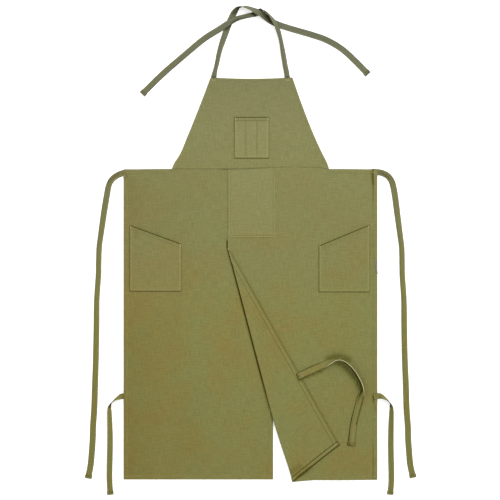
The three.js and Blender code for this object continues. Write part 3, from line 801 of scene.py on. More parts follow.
# %% Outline of the bib
BIB = {"y": (214, 226, 250, 300, 369, 456), "left": (-208, -203.5, -188.5, -167, -139, -105.5),
       "right": (208, 204.5, 192.5, 169.5, 142, 111)}
BIB_TOP_Y = 456.0
BIB_TOP_SAG = 3.0
LAP_HEIGHT = (1.15, 3.6)  # of the bib's back over one panel, and over both
LAP_DROP = (226.0, 262.0)  # the bib comes down between these
BIB_TILT = 5.0  # the bib's lower edge lies this much higher to the right of the middle
TILT_RUN = ((-60, 120), (170, 204))  # and comes down again at the corner
TILT_ROWS = (WAIST_Y + 13, WAIST_Y + 60)  # rows of the grid that tilt with it
SAG_ROWS = (BIB_TOP_Y - 80, BIB_TOP_Y)
BOTH_PANELS = ((-96, -63), (86, 120))  # the bib lies on both panels between these


def through(places, values, at):
    """A smooth curve through the rows of a table."""
    places, values = np.array(places, float), np.array(values, float)
    slopes = np.gradient(values, places)
    k = np.clip(np.searchsorted(places, at) - 1, 0, len(places) - 2)
    run = places[k + 1] - places[k]
    t = (at - places[k]) / run
    ease = t * t * (3 - 2 * t)
    lean = run * t * (1 - t) * ((1 - t) * slopes[k] - t * slopes[k + 1])
    return values[k] * (1 - ease) + values[k + 1] * ease + lean


def bib_low(x):
    """Height of the bib's lower edge."""
    return WAIST_Y + BIB_TILT * between(x, *TILT_RUN)


def bib_sides(y):
    """Left and right edge of the bib at a height."""
    return (through(BIB["y"], BIB[side], y) for side in ("left", "right"))


def bib_cut(column, y):
    """Place on the flat pattern of a column, which is (distance from a side, share of the width)."""
    away, share = column
    left, right = bib_sides(y)
    x = left + (right - left) * share + away
    sag = BIB_TOP_SAG * np.sin(np.pi * (x - left) / (right - left)) * smooth(y, *SAG_ROWS)
    return x, y - sag + (bib_low(x) - WAIST_Y) * fall(y, *TILT_ROWS)


def bib_lap(x, y):
    """Rise of the bib over the skirt's top edge."""
    one, two = LAP_HEIGHT
    return (one + (two - one) * between(x, *BOTH_PANELS)) * fall(y, *LAP_DROP)


print("bib:", BIB["right"][-1] - BIB["left"][-1], "mm wide at the top")

# %% Bib
SIDE_SLANT = 0.92  # square distance from a side for each millimetre across
BIB_SEAM_IN = 4.5
BIB_HEM = 5.5  # the bib's edges are rolled more narrowly
BIB_HEM_EXTRA = 0.5
BIB_STITCH_IN = 3.4
BIB_HEM_LINES = (0, 1, 2.2, 2.9, 3.4, 3.9, 4.7, 5.5, 6.3, 8, 12)
FOLD_UNDER = (7.0, 11.0)  # cloth turned under at the lower edge ends between these
FOLD_UNDER_EXTRA = 0.4
LAP_RIM = (0.4, 1.8)
BIB_SHADE = (0.125, 0.05)  # of its seams, and of its lower rim


def bib_laid(x, y):
    """Face, back, painted shade and paleness of the bib."""
    left, right = bib_sides(y)
    sag = BIB_TOP_SAG * np.sin(np.pi * np.clip((x - left) / (right - left), 0, 1))
    edges = [((x - left) * SIDE_SLANT, y), ((right - x) * SIDE_SLANT, y), (BIB_TOP_Y - sag - y, x)]
    extra, furrow, pucker, seam, rub_and_highlight = hem(edges, BIB_HEM, BIB_STITCH_IN, BIB_HEM_EXTRA)
    low = y - bib_low(x)
    extra = np.maximum(extra, FOLD_UNDER_EXTRA * fall(low, *FOLD_UNDER))
    lap_seam = near(low - BIB_SEAM_IN)
    lift = bib_lap(x, y) + swell(x, y) + pucker + rise_over("neck_left", x, y) + rise_over("neck_right", x, y)
    press = EDGE_PRESS[0] * fall(low, 0, EDGE_PRESS[1])
    back = np.stack([x, y, lift], 1)
    face = np.stack([x, y, lift + CLOTH + extra - press - np.maximum(furrow, FURROW * lap_seam)], 1)
    shade = np.maximum(BIB_SHADE[0] * np.maximum(seam, lap_seam), BIB_SHADE[1] * fall(low, *LAP_RIM))
    return face, back, shade, rub_and_highlight


SIDE_LINES = [away / SIDE_SLANT for away in BIB_HEM_LINES]
BIB_COLUMNS = 38  # even ones, between the hems
shares = np.linspace(0, 1, BIB_COLUMNS + 2)[1:-1]
bib_columns = [(away, 0) for away in SIDE_LINES]
bib_columns += [(SIDE_LINES[-1] * (1 - 2 * share), share) for share in shares]
bib_columns += [(-away, 1) for away in reversed(SIDE_LINES)]
LAP_LINES = (0, 1.2, 2.5, 3.7, 4.5, 5.3, 6.5, 8, 9, 10, 13)
bib_rows = grid_lines(WAIST_Y, BIB_TOP_Y, STEP, LAP_LINES, BIB_HEM_LINES)
bib = cloth("bib_canvas", canvas, bib_columns, bib_rows, bib_cut, bib_laid)
print(bib.name, len(bib.data.polygons), "faces")

# %% [markdown]
# ## Patch pockets
#
# A patch pocket is a square of canvas with its sides and bottom turned under and edge-stitched, and its mouth
# hemmed. The mouth isn't sewn, so it stands open a little. The two skirt pockets have slanted mouths, and the
# pocket on the bib is sewn through in three channels for tools. One function lays all three: columns are
# counted from the sides, rows from the bottom and from the mouth.

# %% Sizes of the patch pockets
# in each row, hem is how dark the painted shade along the mouth's seam is, and rub an even paleness of the
# whole pocket
POCKETS = {
    "left_pocket": {"x0": -320, "x1": -183, "bottom": -110, "top0": 65, "top1": 15, "gape": 1.6,
                    "seams": (), "rub_and_highlight": 0.025, "hem": 0.4},
    "right_pocket": {"x0": 181, "x1": 316, "bottom": -112, "top0": 10, "top1": 66, "gape": 1.6,
                     "seams": (), "rub_and_highlight": 0.0, "hem": 0.4},
    "bib_pocket": {"x0": -43, "x1": 49, "bottom": 242, "top0": 351, "top1": 351, "gape": 1.1,
                   "seams": (-13, 17), "rub_and_highlight": 0.05, "hem": 0.8},
}
POCKET_GAP = 0.3
TURNED = (6.0, 12.0)  # cloth turned under at the sides and the bottom ends between these
TURNED_EXTRA = 0.45
RIM_SHADE = (0.6, 1.7)  # a pocket's rim is in shade out to these distances
MOUTH_RIM = (1.0, 2.8)
POCKET_HIGHLIGHT = 0.14  # a painted highlight inside the edge, over the turned cloth
HIGHLIGHT_LINE = (4.6, 1.2)  # its distance from the edge, and its half width
POCKET_SHADE = {"seam": 0.25, "channel": 0.6, "rim": 0.55, "foot": 0.9, "mouth": 0.9}
LIT = {"start": 0.9, "end": 6.0, "seam": 0.5, "rim": 0.6}  # the right side, and what it loses of its shade
POCKET_PUCKER = 0.1
FREE_RUN = 26.0  # cloth is slack this far from a seam
SLACK_LOW = 0.25  # share of the mouth's gape that is left near the bottom
EDGE_SEAM_IN = 2.4
MOUTH_HEM = 11.0
MOUTH_SEAM_IN = 8.6
CHANNEL_END = (MOUTH_SEAM_IN - 2, MOUTH_SEAM_IN)  # below the mouth
EDGE_LINES = (0, 0.9, 1.5, 2.1, 2.7, 3.3, 4.2, 6.5, 8.2, 9.0, 9.8, 12)
MOUTH_LINES = (0, 0.9, 3, 6, 7.4, 8.2, 9.0, 9.9, 10.7, 11.5, 14)
POCKET_STEP = 4.5
POCKET_ROWS = 100.0  # rows are counted as on a pocket of this height
print(len(POCKETS), "pockets, with mouths hemmed", MOUTH_HEM, "mm deep")


# %% Patch pockets
def pocket_mouth(pocket, x):
    """Height of the slanted mouth at x."""
    share = (x - pocket["x0"]) / (pocket["x1"] - pocket["x0"])
    return pocket["top0"] + (pocket["top1"] - pocket["top0"]) * share


def pocket_laid(pocket, x, y):
    """Face, back, painted shade and paleness of a patch pocket, on a panel that lies on the floor or on the
    bib.
    """
    mouth = pocket_mouth(pocket, x)
    side = np.minimum(x - pocket["x0"], pocket["x1"] - x)
    low, high = y - pocket["bottom"], mouth - y
    sewn = np.minimum(side, low)
    seam, mouth_seam = near(sewn - EDGE_SEAM_IN), near(high - MOUTH_SEAM_IN)
    channels, held = np.zeros_like(x), sewn
    for place in pocket["seams"]:
        channels = np.maximum(channels, near(x - place) * smooth(high, *CHANNEL_END))
        held = np.minimum(held, np.abs(x - place))
    turned = TURNED_EXTRA * np.maximum(fall(sewn, *TURNED),
                                       fall(high, MOUTH_HEM - HEM_SLOPE, MOUTH_HEM + HEM_SLOPE))
    slack = SLACK_LOW + (1 - SLACK_LOW) * np.clip(low / (low + high), 0, 1) ** 3
    gape = pocket["gape"] * smooth(held, EDGE_SEAM_IN, EDGE_SEAM_IN + FREE_RUN) * slack
    wave = 1 + np.sin(2 * np.pi * (x + y) / PUCKER_LENGTH)
    lift = CLOTH + POCKET_GAP + swell(x, y) + gape + POCKET_PUCKER * wave * near(sewn, PUCKER_REACH)
    lift = lift + bib_lap(x, np.maximum(y, WAIST_Y)) * (pocket["bottom"] > WAIST_Y)
    back = np.stack([x, y, lift], 1)
    furrow = FURROW * np.max([seam, channels, mouth_seam], axis=0)
    face = np.stack([x, y, lift + CLOTH + turned - furrow], 1)
    wide = pocket["x1"] - pocket["x0"]
    lit = smooth(x - pocket["x0"], LIT["start"] * wide, wide - LIT["end"])
    shade = np.max([POCKET_SHADE["seam"] * seam * (1 - LIT["seam"] * lit),
                    POCKET_SHADE["rim"] * fall(np.minimum(side, high), *RIM_SHADE) * (1 - LIT["rim"] * lit),
                    POCKET_SHADE["foot"] * fall(low, *RIM_SHADE),
                    POCKET_SHADE["mouth"] * fall(high, *MOUTH_RIM),
                    POCKET_SHADE["channel"] * channels, pocket["hem"] * mouth_seam], axis=0)
    return face, back, shade, POCKET_HIGHLIGHT * near(sewn - HIGHLIGHT_LINE[0], HIGHLIGHT_LINE[1]) + pocket["rub_and_highlight"]


def make_pocket(name):
    """One patch pocket from its row in the table."""
    pocket = POCKETS[name]
    columns = grid_lines(pocket["x0"], pocket["x1"], POCKET_STEP, EDGE_LINES, EDGE_LINES)
    for place in pocket["seams"]:
        columns = with_lines(columns, place + SEAM_LINES)
    rise = grid_lines(0, POCKET_ROWS, POCKET_STEP, EDGE_LINES, MOUTH_LINES)
    foot, mouth = EDGE_LINES[-1], MOUTH_LINES[-1]

    def cut(x, row):
        tall = pocket_mouth(pocket, x) - pocket["bottom"]
        marks = (0, foot, POCKET_ROWS - mouth, POCKET_ROWS), (0, foot, tall - mouth, tall)
        return x, pocket["bottom"] + np.interp(row, *marks)

    return cloth(name + "_canvas", canvas, columns, rise, cut, lambda x, y: pocket_laid(pocket, x, y))


pockets = {name: make_pocket(name) for name in POCKETS}
print("pockets:", {name: len(piece.data.polygons) for name, piece in pockets.items()})

# %% [markdown]
# ## Ties
#
# A tie is a strip of canvas folded in to a flat band and closed with one line of stitches. Its route is a
# short list of points with the height of its lower edge and its roll, so that it can lie flat, stand on edge
# or turn over. A curve object with a flat bevel could do this, but it can't keep a furrow and a folded tip.
# So a long grid is bent along the curve, which passes through all the points.

# %% Routes of the ties
TIES = {  # width, and rows of: x, y, height of the lower edge, roll in degrees
    "neck_tie_left": (16, [
        (-98, 444, 0, 0), (-97, 458, 0, 0), (-94.5, 470, 0, -8), (-89, 492, 0, -14), (-81.5, 527, 0, -12),
        (-73, 554, 0, -6), (-66, 574, 0, 0), (-58, 596, 0, 0), (-48, 619, 0, 4), (-42, 629, 0, 28),
        (-36, 636.5, 0, 58), (-28, 641.5, 0, 88), (-13, 642, 1.4, 120), (1, 637, 4.4, 133),
        (9, 633, 7, 145), (18, 628.5, 9, 158), (28, 622.7, 9.8, 170), (36, 617.5, 6, 176),
        (44, 612.3, 2.2, 180), (52, 607, 0.2, 180), (70, 598, 0, 180), (99, 588, 0, 180),
        (166, 568, 0, 192), (201, 555.5, 0, 192), (245, 529.5, 0, 180), (303, 474, 0, 180),
        (312, 464.5, 0, 180)]),
    "neck_tie_right": (16, [
        (98.5, 444, 0, 0), (97, 460, 0, 0), (95.5, 470, 0, 5), (92, 487, 0, 8), (86.5, 520, 0, 10),
        (79.5, 558, 1, 12), (73.5, 579, 2.6, 18), (67.5, 594, 2.8, 34), (59.5, 607, 2.6, 54),
        (51, 617.6, 2, 63), (42.4, 625.7, 0.8, 62), (34.6, 631.8, 0, 70), (28.5, 632.5, 0, 124),
        (21, 629, 0, 165), (13, 624.8, 0, 178), (3, 622, 0, 180), (-17, 617.5, 0.6, 180),
        (-34, 612.5, 2.2, 180), (-50, 605, 2.4, 180), (-66, 595, 2.4, 180), (-84, 583, 1.6, 180),
        (-121, 560, 0, 180), (-177, 513.5, 0, 192), (-232, 466, 0, 180), (-287, 412, 0, 180)]),
    "waist_tie_left": (16, [
        (-322, 204, 0, 0), (-335, 203.5, 0, 0), (-349, 199, 0, 0), (-366, 187, 0, 10), (-374.5, 172, 0, 15),
        (-381, 141, 0, 5), (-389.5, 88, 0, 0), (-397, 35, 0, 0), (-400.6, 8, 0, 0), (-402, -30, 0, 0),
        (-402.6, -65, 0, 0), (-405, -100, 0, 0), (-407, -132, 0, 0), (-408, -205, 0, 0),
        (-409.6, -290, 0, 0), (-412, -365, 0, 0), (-414, -423, 0, 0), (-417, -468, 0, 0),
        (-418, -502, 0, 0), (-421, -545, 0, 0), (-423.5, -570, 0, 0), (-430, -606, 0, 0)]),
    "waist_tie_right": (16, [
        (321, 206.5, 0, 0), (335, 206, 0, 0), (350, 203, 0, 0), (364, 195, 0, 10), (374, 181, 0, 15),
        (378.5, 166, 0, 10), (383, 141, 0, 5), (390, 88, 0, 0), (397, 35, 0, 0), (400.5, 8, 0, 0),
        (401.7, -30, 0, 0), (402.2, -65, 0, 0), (404.5, -100, 0, 0), (406.5, -132, 0, 0),
        (407.3, -205, 0, 0), (409, -290, 0, 0), (412, -365, 0, 0), (413.7, -423, 0, 0), (417, -468, 0, 0),
        (418, -502, 0, 0), (421, -545, 0, 0), (423.5, -570, 0, 0), (431, -604, 0, 0)]),
    "leg_tie_left_outer": (15, [
        (-322, -387, 0, 0), (-339, -388, 0, 0), (-348, -391, 0, 52), (-357.5, -395.5, 0, 76),
        (-365, -402, 0, 86), (-370.5, -409, 0, 100), (-372.8, -417, 0, 120), (-372.8, -437, 0, 136),
        (-372, -465, 0, 146), (-371.7, -505, 0, 160), (-372.3, -540, 0, 170), (-373.5, -595, 0, 176),
        (-373, -621, 0, 180), (-371, -649, 0, 180)]),
    "leg_tie_right_outer": (15, [
        (326, -390, 2.6, 0), (339, -387, 2.4, 0), (350, -389.5, 0.8, -52), (359, -395, 0, -76),
        (366, -401.5, 0, -86), (371, -409, 0, -100), (372.8, -417, 0, -120), (372.8, -437, 0, -138),
        (372, -465, 0, -150), (371.6, -505, 0, -162), (372, -540, 0, -171), (373.2, -595, 0, -176),
        (372.8, -621, 0, -180), (370, -649, 0, -180)]),
    "leg_tie_right_inner": (18, [
        (124, -336.5, 4.6, 0), (140, -329, 4.4, 0), (168, -315.5, 2.2, -8), (194, -304, 1.4, -30),
        (212, -296, 1.4, -62), (223, -292, 1.4, -84), (237, -292, 1.4, -100), (254, -301, 1.4, -108),
        (274.5, -323, 1.4, -110), (283.5, -338.5, 1.4, -112), (290.5, -353, 1.4, -114),
        (293.5, -366.5, 1.4, -122), (293.5, -380, 1.4, -145), (290, -394, 1.4, -170),
        (283.5, -420.5, 1.4, -180), (275, -453, 1.4, -180), (270, -488, 1.4, -180),
        (266, -519, 1.4, -180)]),
    "leg_tie_left_inner": (16, [
        (68.5, -393, 0, 0), (68.5, -300, 0, 0), (68.5, -200, 0, 0), (68.5, -100, 0, 0), (68.5, -14, 0, 0)]),
}
print(len(TIES), "ties")

# %% [markdown]
# ## Shade and curl of the ties
#
# Deep in a knot and behind a twist the cloth is almost black, more than a soft lamp makes it. A painted
# texture could add that, but a short list of soft strokes stays sharp at any size and can be read. The long
# ties also curl lengthwise like a gutter, so they lie narrower there than they were cut.

# %% Shade and curl of the ties
TIE_SHADE = {  # painted shade: dark strokes in the knot, in the twists and at the roots
    "neck_tie_left": [
        ((-35, 638.5), (-28.5, 641.5), 3.2, 1), ((-30, 639), (-37.5, 624), 2.2, 0.75),
        ((-43, 628), (-34, 638), 6, 0.65), ((28, 634), (41, 624.4), 2.6, 1),
        ((41, 624.4), (47.7, 613.7), 2.8, 1), ((47.7, 613.7), (57, 597.2), 2.8, 1),
        ((30, 625), (52, 604), 7, 0.4), ((-69, 582), (-49, 596), 2.3, 1),
        ((-60, 583), (-50, 592), 5, 0.35), ((-106, 457.5), (-88, 457.5), 1.5, 0.8)],
    "neck_tie_right": [
        ((-1, 628.5), (13, 620), 2.4, 1), ((30, 634), (40, 627), 3, 1), ((-50, 599), (-32, 611), 1.5, 0.8),
        ((-32, 611), (-8, 615), 1.2, 0.5), ((28, 635), (41, 625.5), 1.6, 1),
        ((41, 625.5), (48.5, 614), 1.6, 1), ((48.5, 614), (57.5, 598), 1.4, 1),
        ((24, 636), (37, 635), 2, 1), ((88, 457.5), (107, 457.5), 1.5, 0.8)],
    "waist_tie_left": [((-377, 180), (-350, 203), 5, 0.3)],
    "waist_tie_right": [((345, 205), (366, 190), 5, 0.35)],
    "leg_tie_left_outer": [((-367, -401), (-373, -414), 3.6, 1)],
    "leg_tie_right_outer": [((365, -401), (371.5, -414), 3.6, 1)],
    "leg_tie_right_inner": [
        ((296, -369), (288, -385), 3.4, 1), ((288, -385), (276, -410), 5.5, 0.6),
        ((276, -410), (265.5, -454.5), 5, 0.6), ((274.5, -410), (262.7, -470), 3.4, 1),
        ((262.7, -470), (258.9, -515.7), 3.2, 1), ((258.9, -517.5), (274.3, -522.8), 3, 1),
        ((122.4, -329.4), (128.3, -345), 3.2, 1), ((128.3, -345), (191.6, -318), 3, 1),
        ((120.6, -326.7), (207, -288.6), 2.6, 0.95), ((299, -392), (281, -462), 2.6, 0.7)],
}
NO_CURL = ((0,), (0,))
WAIST_CURL = ((130, 215, 370, 430, 560, 620), (0, 0.14, 0.14, 0.07, 0.06, 0))
LEG_CURL = ((150, 260), (0, 0.03))
CURLS = {  # how much narrower a tie lies where it curls lengthwise: places along it, shares of its width
    "neck_tie_left": ((0, 34, 61, 88, 115, 135), (0, 0.35, 0.28, 0.21, 0.08, 0)),
    "neck_tie_right": ((0, 16, 74, 100, 118, 135, 152, 165, 225, 240, 262, 280, 298, 336, 380),
                       (0, 0.2, 0.24, 0.36, 0.38, 0.3, 0.2, 0, 0, 0.3, 0.33, 0.25, 0.12, 0.02, 0)),
    "waist_tie_left": WAIST_CURL, "waist_tie_right": WAIST_CURL,
    "leg_tie_left_outer": LEG_CURL, "leg_tie_right_outer": LEG_CURL,
}
print(sum(map(len, TIE_SHADE.values())), "dark strokes,", len(CURLS), "ties that curl")

# %% [markdown]
# ## From a route to a band
#
# A centripetal Catmull-Rom curve passes through every point of a route and doesn't swing out where points are
# close. Bezier handles would do it too, but each point would need two more. At every section the curve gives
# the way ahead, and the roll turns the band about it. The height is such that the lower edge lies on the
# floor or on the cloth below.

# %% Sections along a tie
BAND = 1.6  # thickness of a folded tie
BAND_STEP = 2.0
SPAN_STEPS = 4  # sections from one point of a route to the next, at least
LIES_ON = {"leg_tie_right_inner": "right_leg_canvas"}  # the other ties lie on the floor


def length_so_far(points):
    """Length along a line of points, from its start to each of them."""
    return np.concatenate([[0], np.cumsum(np.linalg.norm(np.diff(points, axis=0), axis=1))])


def centripetal(points, per_span):
    """Points along a centripetal Catmull-Rom curve through the given ones, so many steps in each span."""
    ends = [2 * points[0] - points[1], *points, 2 * points[-1] - points[-2]]
    curve = []
    for k, steps in enumerate(per_span):
        p0, p1, p2, p3 = ends[k:k + 4]
        d0, d1, d2 = (np.linalg.norm(b - a) ** 0.5 for a, b in ((p0, p1), (p1, p2), (p2, p3)))
        m1 = ((p1 - p0) / d0 - (p2 - p0) / (d0 + d1) + (p2 - p1) / d1) * d1
        m2 = ((p2 - p1) / d1 - (p3 - p1) / (d1 + d2) + (p3 - p2) / d2) * d1
        t = np.arange(steps)[:, None] / steps
        square, cube = 3 * (p2 - p1) - 2 * m1 - m2, 2 * (p1 - p2) + m1 + m2
        curve.append(p1 + m1 * t + square * t ** 2 + cube * t ** 3)
    return np.concatenate([*curve, points[-1:]])


def tie_sections(name):
    """Sections along a tie: place along it, middle, direction across it, and direction off its face."""
    width, route = TIES[name]
    route = np.array(route, float)
    spans = np.linalg.norm(np.diff(route[:, :2], axis=0), axis=1)
    per_span = np.maximum(np.round(spans / BAND_STEP).astype(int), SPAN_STEPS)
    flat = centripetal(route[:, :2], per_span)
    share = [k + smooth(np.arange(n) / n, 0, 1) for k, n in enumerate(per_span)]
    share = np.concatenate([*share, [len(spans)]])
    lift, roll = (np.interp(share, np.arange(len(route)), route[:, column]) for column in (2, 3))
    roll = np.radians(roll)
    height = lift + (np.abs(np.sin(roll)) * width + np.abs(np.cos(roll)) * BAND) / 2
    if name in LIES_ON:
        height = height + swell(flat[:, 0], flat[:, 1])
    middle = np.column_stack([flat, height])
    ahead = unit(np.gradient(middle, axis=0))
    level = unit(np.column_stack([-ahead[:, 1], ahead[:, 0], np.zeros(len(ahead))]))
    side = level * np.cos(roll)[:, None] + np.cross(ahead, level) * np.sin(roll)[:, None]
    return length_so_far(middle), middle, side, np.cross(ahead, side)


print("left neck tie:", len(tie_sections("neck_tie_left")[0]), "sections")

# %% Laying a band along its sections
BAND_EDGE = (0.86, 3.0)  # share of a tie's thickness at its edges, and how far in it is whole
BAND_FURROW = 0.18
BAND_SEAM_IN = 2.6
TIP = 9.0  # folded end
TIP_SLOPE = 1.5
TIP_EXTRA = 0.7
TIP_SEAM = 7.5  # from the end
TIP_FLARE = 0.13  # share of its width by which the folded end is wider
BAND_SHADE = {"seam": 0.2, "tip": 0.12, "tip_seam": 0.85, "rim": 0.35}
BAND_RIM = (0.3, 1.8)
STANDS = {"leg_tie_right_inner": 1.0}  # painted shade on a standing tie's side, and painted highlight on its top
STAND_SHADE = 0.8
STEEP, STEEP_TOP = (0.5, 0.9), (0.4, 0.85)  # a tie counts as standing between these, and its upper edge
STAND_SIDE, STAND_TOP = (1.0, 3.0), (0.8, 1.8)  # where its painted shade begins and its painted highlight ends
TURNED_PAST = (0.0, 0.25)  # only a tie that has turned over gets painted shade on its side
CURL_FLAT = (0.3, 0.9)  # only a tie that lies between these and flat curls
CURL_END = 12.0  # and not just before its folded end


def curl(name, place, beside, above, w, s, to_tip):
    """Points across a band that arches lengthwise, and the directions off its face there."""
    half = TIES[name][0] / 2
    flat = smooth(np.abs(above[:, 2]), *CURL_FLAT) * smooth(to_tip, TIP, TIP + CURL_END)
    narrow = 1 - flat * np.interp(s, *CURLS.get(name, NO_CURL))
    arch = 2 * half * narrow * np.sqrt(0.375 * (1 / narrow - 1))  # keeps the band's width along the arc
    across = place + beside * (w * narrow)[:, None]
    across[:, 2] += arch * (1 - (w / half) ** 2)
    lean = 2 * arch * w / half ** 2 / narrow
    return across, unit(above + beside * (lean * np.sign(above[:, 2]))[:, None])


def tie_laid(name, sections):
    """A function for the face, back, painted shade and highlight of a tie, from its pattern across and along
    it.
    """
    along, middle, side, off = sections
    half = TIES[name][0] / 2

    def laid(w, s):
        place, beside, above = (np.column_stack([np.interp(s, along, column) for column in values.T])
                                for values in (middle, side, off))
        to_tip = along[-1] - s
        folded = fall(to_tip, TIP, TIP + TIP_SLOPE)
        edge = half - np.abs(w)
        seam, tip_seam = near(half - w - BAND_SEAM_IN), near(to_tip - TIP_SEAM)
        plump = BAND_EDGE[0] + (1 - BAND_EDGE[0]) * smooth(edge, 0, BAND_EDGE[1])
        thick = (BAND * plump + TIP_EXTRA * folded) / 2 - BAND_FURROW * np.maximum(seam, tip_seam)
        across, above = curl(name, place, beside, above, w, s, to_tip)
        across = across + beside * (w * TIP_FLARE * folded)[:, None]
        face, back = across + above * thick[:, None], across - above * thick[:, None]
        rim = fall(np.min([edge, to_tip, s], axis=0), *BAND_RIM)
        standing, stands = np.abs(beside[:, 2]), STANDS.get(name, 0)
        from_top = half - w * np.sign(beside[:, 2])
        over = smooth(-above[:, 2], *TURNED_PAST) * smooth(standing, *STEEP)
        lying = [BAND_SHADE["seam"] * seam, BAND_SHADE["tip"] * folded, BAND_SHADE["tip_seam"] * tip_seam,
                 BAND_SHADE["rim"] * (1 + stands) * rim]
        shade = np.max([np.max(lying, axis=0) * (1 - standing),
                        STAND_SHADE * stands * over * smooth(from_top, *STAND_SIDE),
                        strokes(TIE_SHADE.get(name, ()), across[:, 0], across[:, 1])], axis=0)
        # the upper edge of a standing tie gets a painted highlight
        standing_highlight = stands * smooth(standing, *STEEP_TOP) * fall(from_top, *STAND_TOP)
        return face, back, shade * (1 - standing_highlight), standing_highlight

    return laid


print("a tie is", BAND, "mm thick, and its folded tip", round(BAND + TIP_EXTRA, 1), "mm")

# %% Ties
BAND_LINES = (0, 0.7, 1.5, 2.1, 3.1, 3.8)  # grid lines from each edge
BAND_COLUMN = 3.0
TIP_LINES = np.array([0, 0.8, 1.8, 4, 6.4, 7.1, 7.9, 8.6, 9.6, 11])
ROOT_LINES = (0.9, 1.9)
TIP_CLEAR = 4.0  # even lines end this far before the tip


def make_tie(name):
    """One tie, with the function that lays it and its length."""
    sections = tie_sections(name)
    half = TIES[name][0] / 2
    columns = grid_lines(-half, half, BAND_COLUMN, BAND_LINES, BAND_LINES)
    last = sections[0][-1]
    even = sections[0][sections[0] < last - TIP - TIP_CLEAR]
    rows = with_lines(even, ROOT_LINES, last - TIP_LINES)
    laid = tie_laid(name, sections)
    material = canvas if name in LIES_ON else tape
    piece = cloth(name + "_band", material, columns, rows, lambda w, s: (w, s), laid)
    return {"piece": piece, "laid": laid, "length": last, "half": half}


ties = {name: make_tie(name) for name in TIES}
print("tie lengths in mm:", {name: round(made["length"]) for name, made in ties.items()})

# %% [markdown]
# ## Side tag
#
# A short blank tag of label tape is caught in the right side hem. It is folded once, so it is two layers
# thick, and its lower end stands just past the edge. It is too small to need more than a plain strip.

# %% Side tag
TAG = {"width": 3.5, "length": 38.0, "lean": np.radians(9), "y": -45.0, "thick": 0.9}
TAG_GAP = 0.3  # over the puckers of the hem
TAG_EDGE = (0.7, 1.2)  # share of its thickness at its edges, and how far in it is whole
TAG_GRID = (0.6, 3.0)


def tag_laid(w, s):
    """Face and back of the tag, which lies on the right side hem; it has no painted shade and no paleness."""
    x = HALF_WIDTH - TAG["width"] + w * np.cos(TAG["lean"]) - s * np.sin(TAG["lean"])
    y = TAG["y"] + w * np.sin(TAG["lean"]) + s * np.cos(TAG["lean"])
    lift = CLOTH + HEM_EXTRA + 2 * PUCKER + TAG_GAP + swell(x, y)
    plump = TAG_EDGE[0] + (1 - TAG_EDGE[0]) * smooth(TAG["width"] / 2 - np.abs(w), 0, TAG_EDGE[1])
    back = np.stack([x, y, lift], 1)
    face = np.stack([x, y, lift + TAG["thick"] * plump], 1)
    return face, back, np.zeros_like(w), np.zeros_like(w)


tag = cloth(
    "side_tag_tape", label_tape,
    *(grid_lines(-TAG[size] / 2, TAG[size] / 2, step) for size, step in zip(("width", "length"), TAG_GRID)),
    lambda w, s: (w, s), tag_laid,
)
print(tag.name, len(tag.data.polygons), "faces")

# %% [markdown]
# ## Stitching
#
# Every seam is a row of lockstitches: short runs of thread that rise out of the cloth and dive back in. A
# dashed texture could stand in for them, but real stitches catch the light and show in close views. One is a
# small ellipsoid, and its copies along all the seams of a piece are joined into one mesh. The same functions
# that laid the cloth say where each stitch lies and which way is up there.

# %% One stitch, copied along seams
STITCH_PITCH = 3.3
STITCH = {"length": 2.9, "width": 0.9, "height": 0.55}
TACK_PITCH = 0.8  # bar tacks are stitches side by side
TACK_LENGTH = 3.2
SUNK = 0.06  # how deep a stitch sits in its furrow

bm = bmesh.new()
bmesh.ops.create_uvsphere(bm, u_segments=6, v_segments=4, radius=0.5)
bmesh.ops.rotate(bm, verts=bm.verts, matrix=Matrix.Rotation(np.pi / 2, 3, "Y"))
bm.verts.index_update()
STITCH_POINTS = np.array([v.co[:] for v in bm.verts])
STITCH_FACES = [[v.index for v in face.verts] for face in bm.faces]
bm.free()


def run(points, pitch=STITCH_PITCH, length=STITCH["length"], across=False, under=False):
    """A row of stitches through points of a pattern: along the row or across it, on the face or the back."""
    points = np.array(points, float)
    along = length_so_far(points)
    count = max(int(along[-1] / pitch), 1)
    at = along[-1] * (np.arange(count) + 0.5) / count
    middles = np.column_stack([np.interp(at, along, points[:, k]) for k in (0, 1)])
    span = np.clip(np.searchsorted(along, at) - 1, 0, len(points) - 2)
    lie = unit(np.diff(points, axis=0))[span]
    if across:
        lie = np.column_stack([-lie[:, 1], lie[:, 0]])
    return {"middles": middles, "reach": lie * length / 2, "length": length, "side": 1 if under else 0}


def both_sides(points):
    """A row of stitches that shows on the face and on the back."""
    return [run(points), run(points, under=True)]


def tack(start, end):
    """A bar tack: close stitches side by side."""
    return run([start, end], TACK_PITCH, TACK_LENGTH, across=True)


def sew(name, laid, runs):
    """All stitches of one piece as one mesh of thread."""
    blocks = []
    for row in runs:
        face, back = laid(*row["middles"].T)[:2]
        up = (face - back) * (1 - 2 * row["side"])
        ends = [laid(*(row["middles"] + sign * row["reach"]).T)[row["side"]] for sign in (-1, 1)]
        ahead = unit(ends[1] - ends[0])
        beside = unit(np.cross(up, ahead))
        up = np.cross(ahead, beside)
        shape = STITCH_POINTS * (row["length"], STITCH["width"], STITCH["height"])
        middle = (ends[0] + ends[1]) / 2 + up * (STITCH["height"] / 2 - SUNK)
        axes = np.stack([ahead, beside, up], 1)
        blocks.append((middle[:, None] + np.einsum("pk,skc->spc", shape, axes)).reshape(-1, 3))
    points = np.concatenate(blocks) * METRE
    count = len(points) // len(STITCH_POINTS)
    faces = [[k * len(STITCH_POINTS) + v for v in face] for k in range(count) for face in STITCH_FACES]
    mesh = bpy.data.meshes.new(name)
    mesh.from_pydata(points, [], faces)
    mesh.polygons.foreach_set("use_smooth", np.ones(len(faces), bool))
    mesh.materials.append(thread)
    piece = bpy.data.objects.new(name, mesh)
    bpy.context.collection.objects.link(piece)
    print(name, count, "stitches")
    return piece


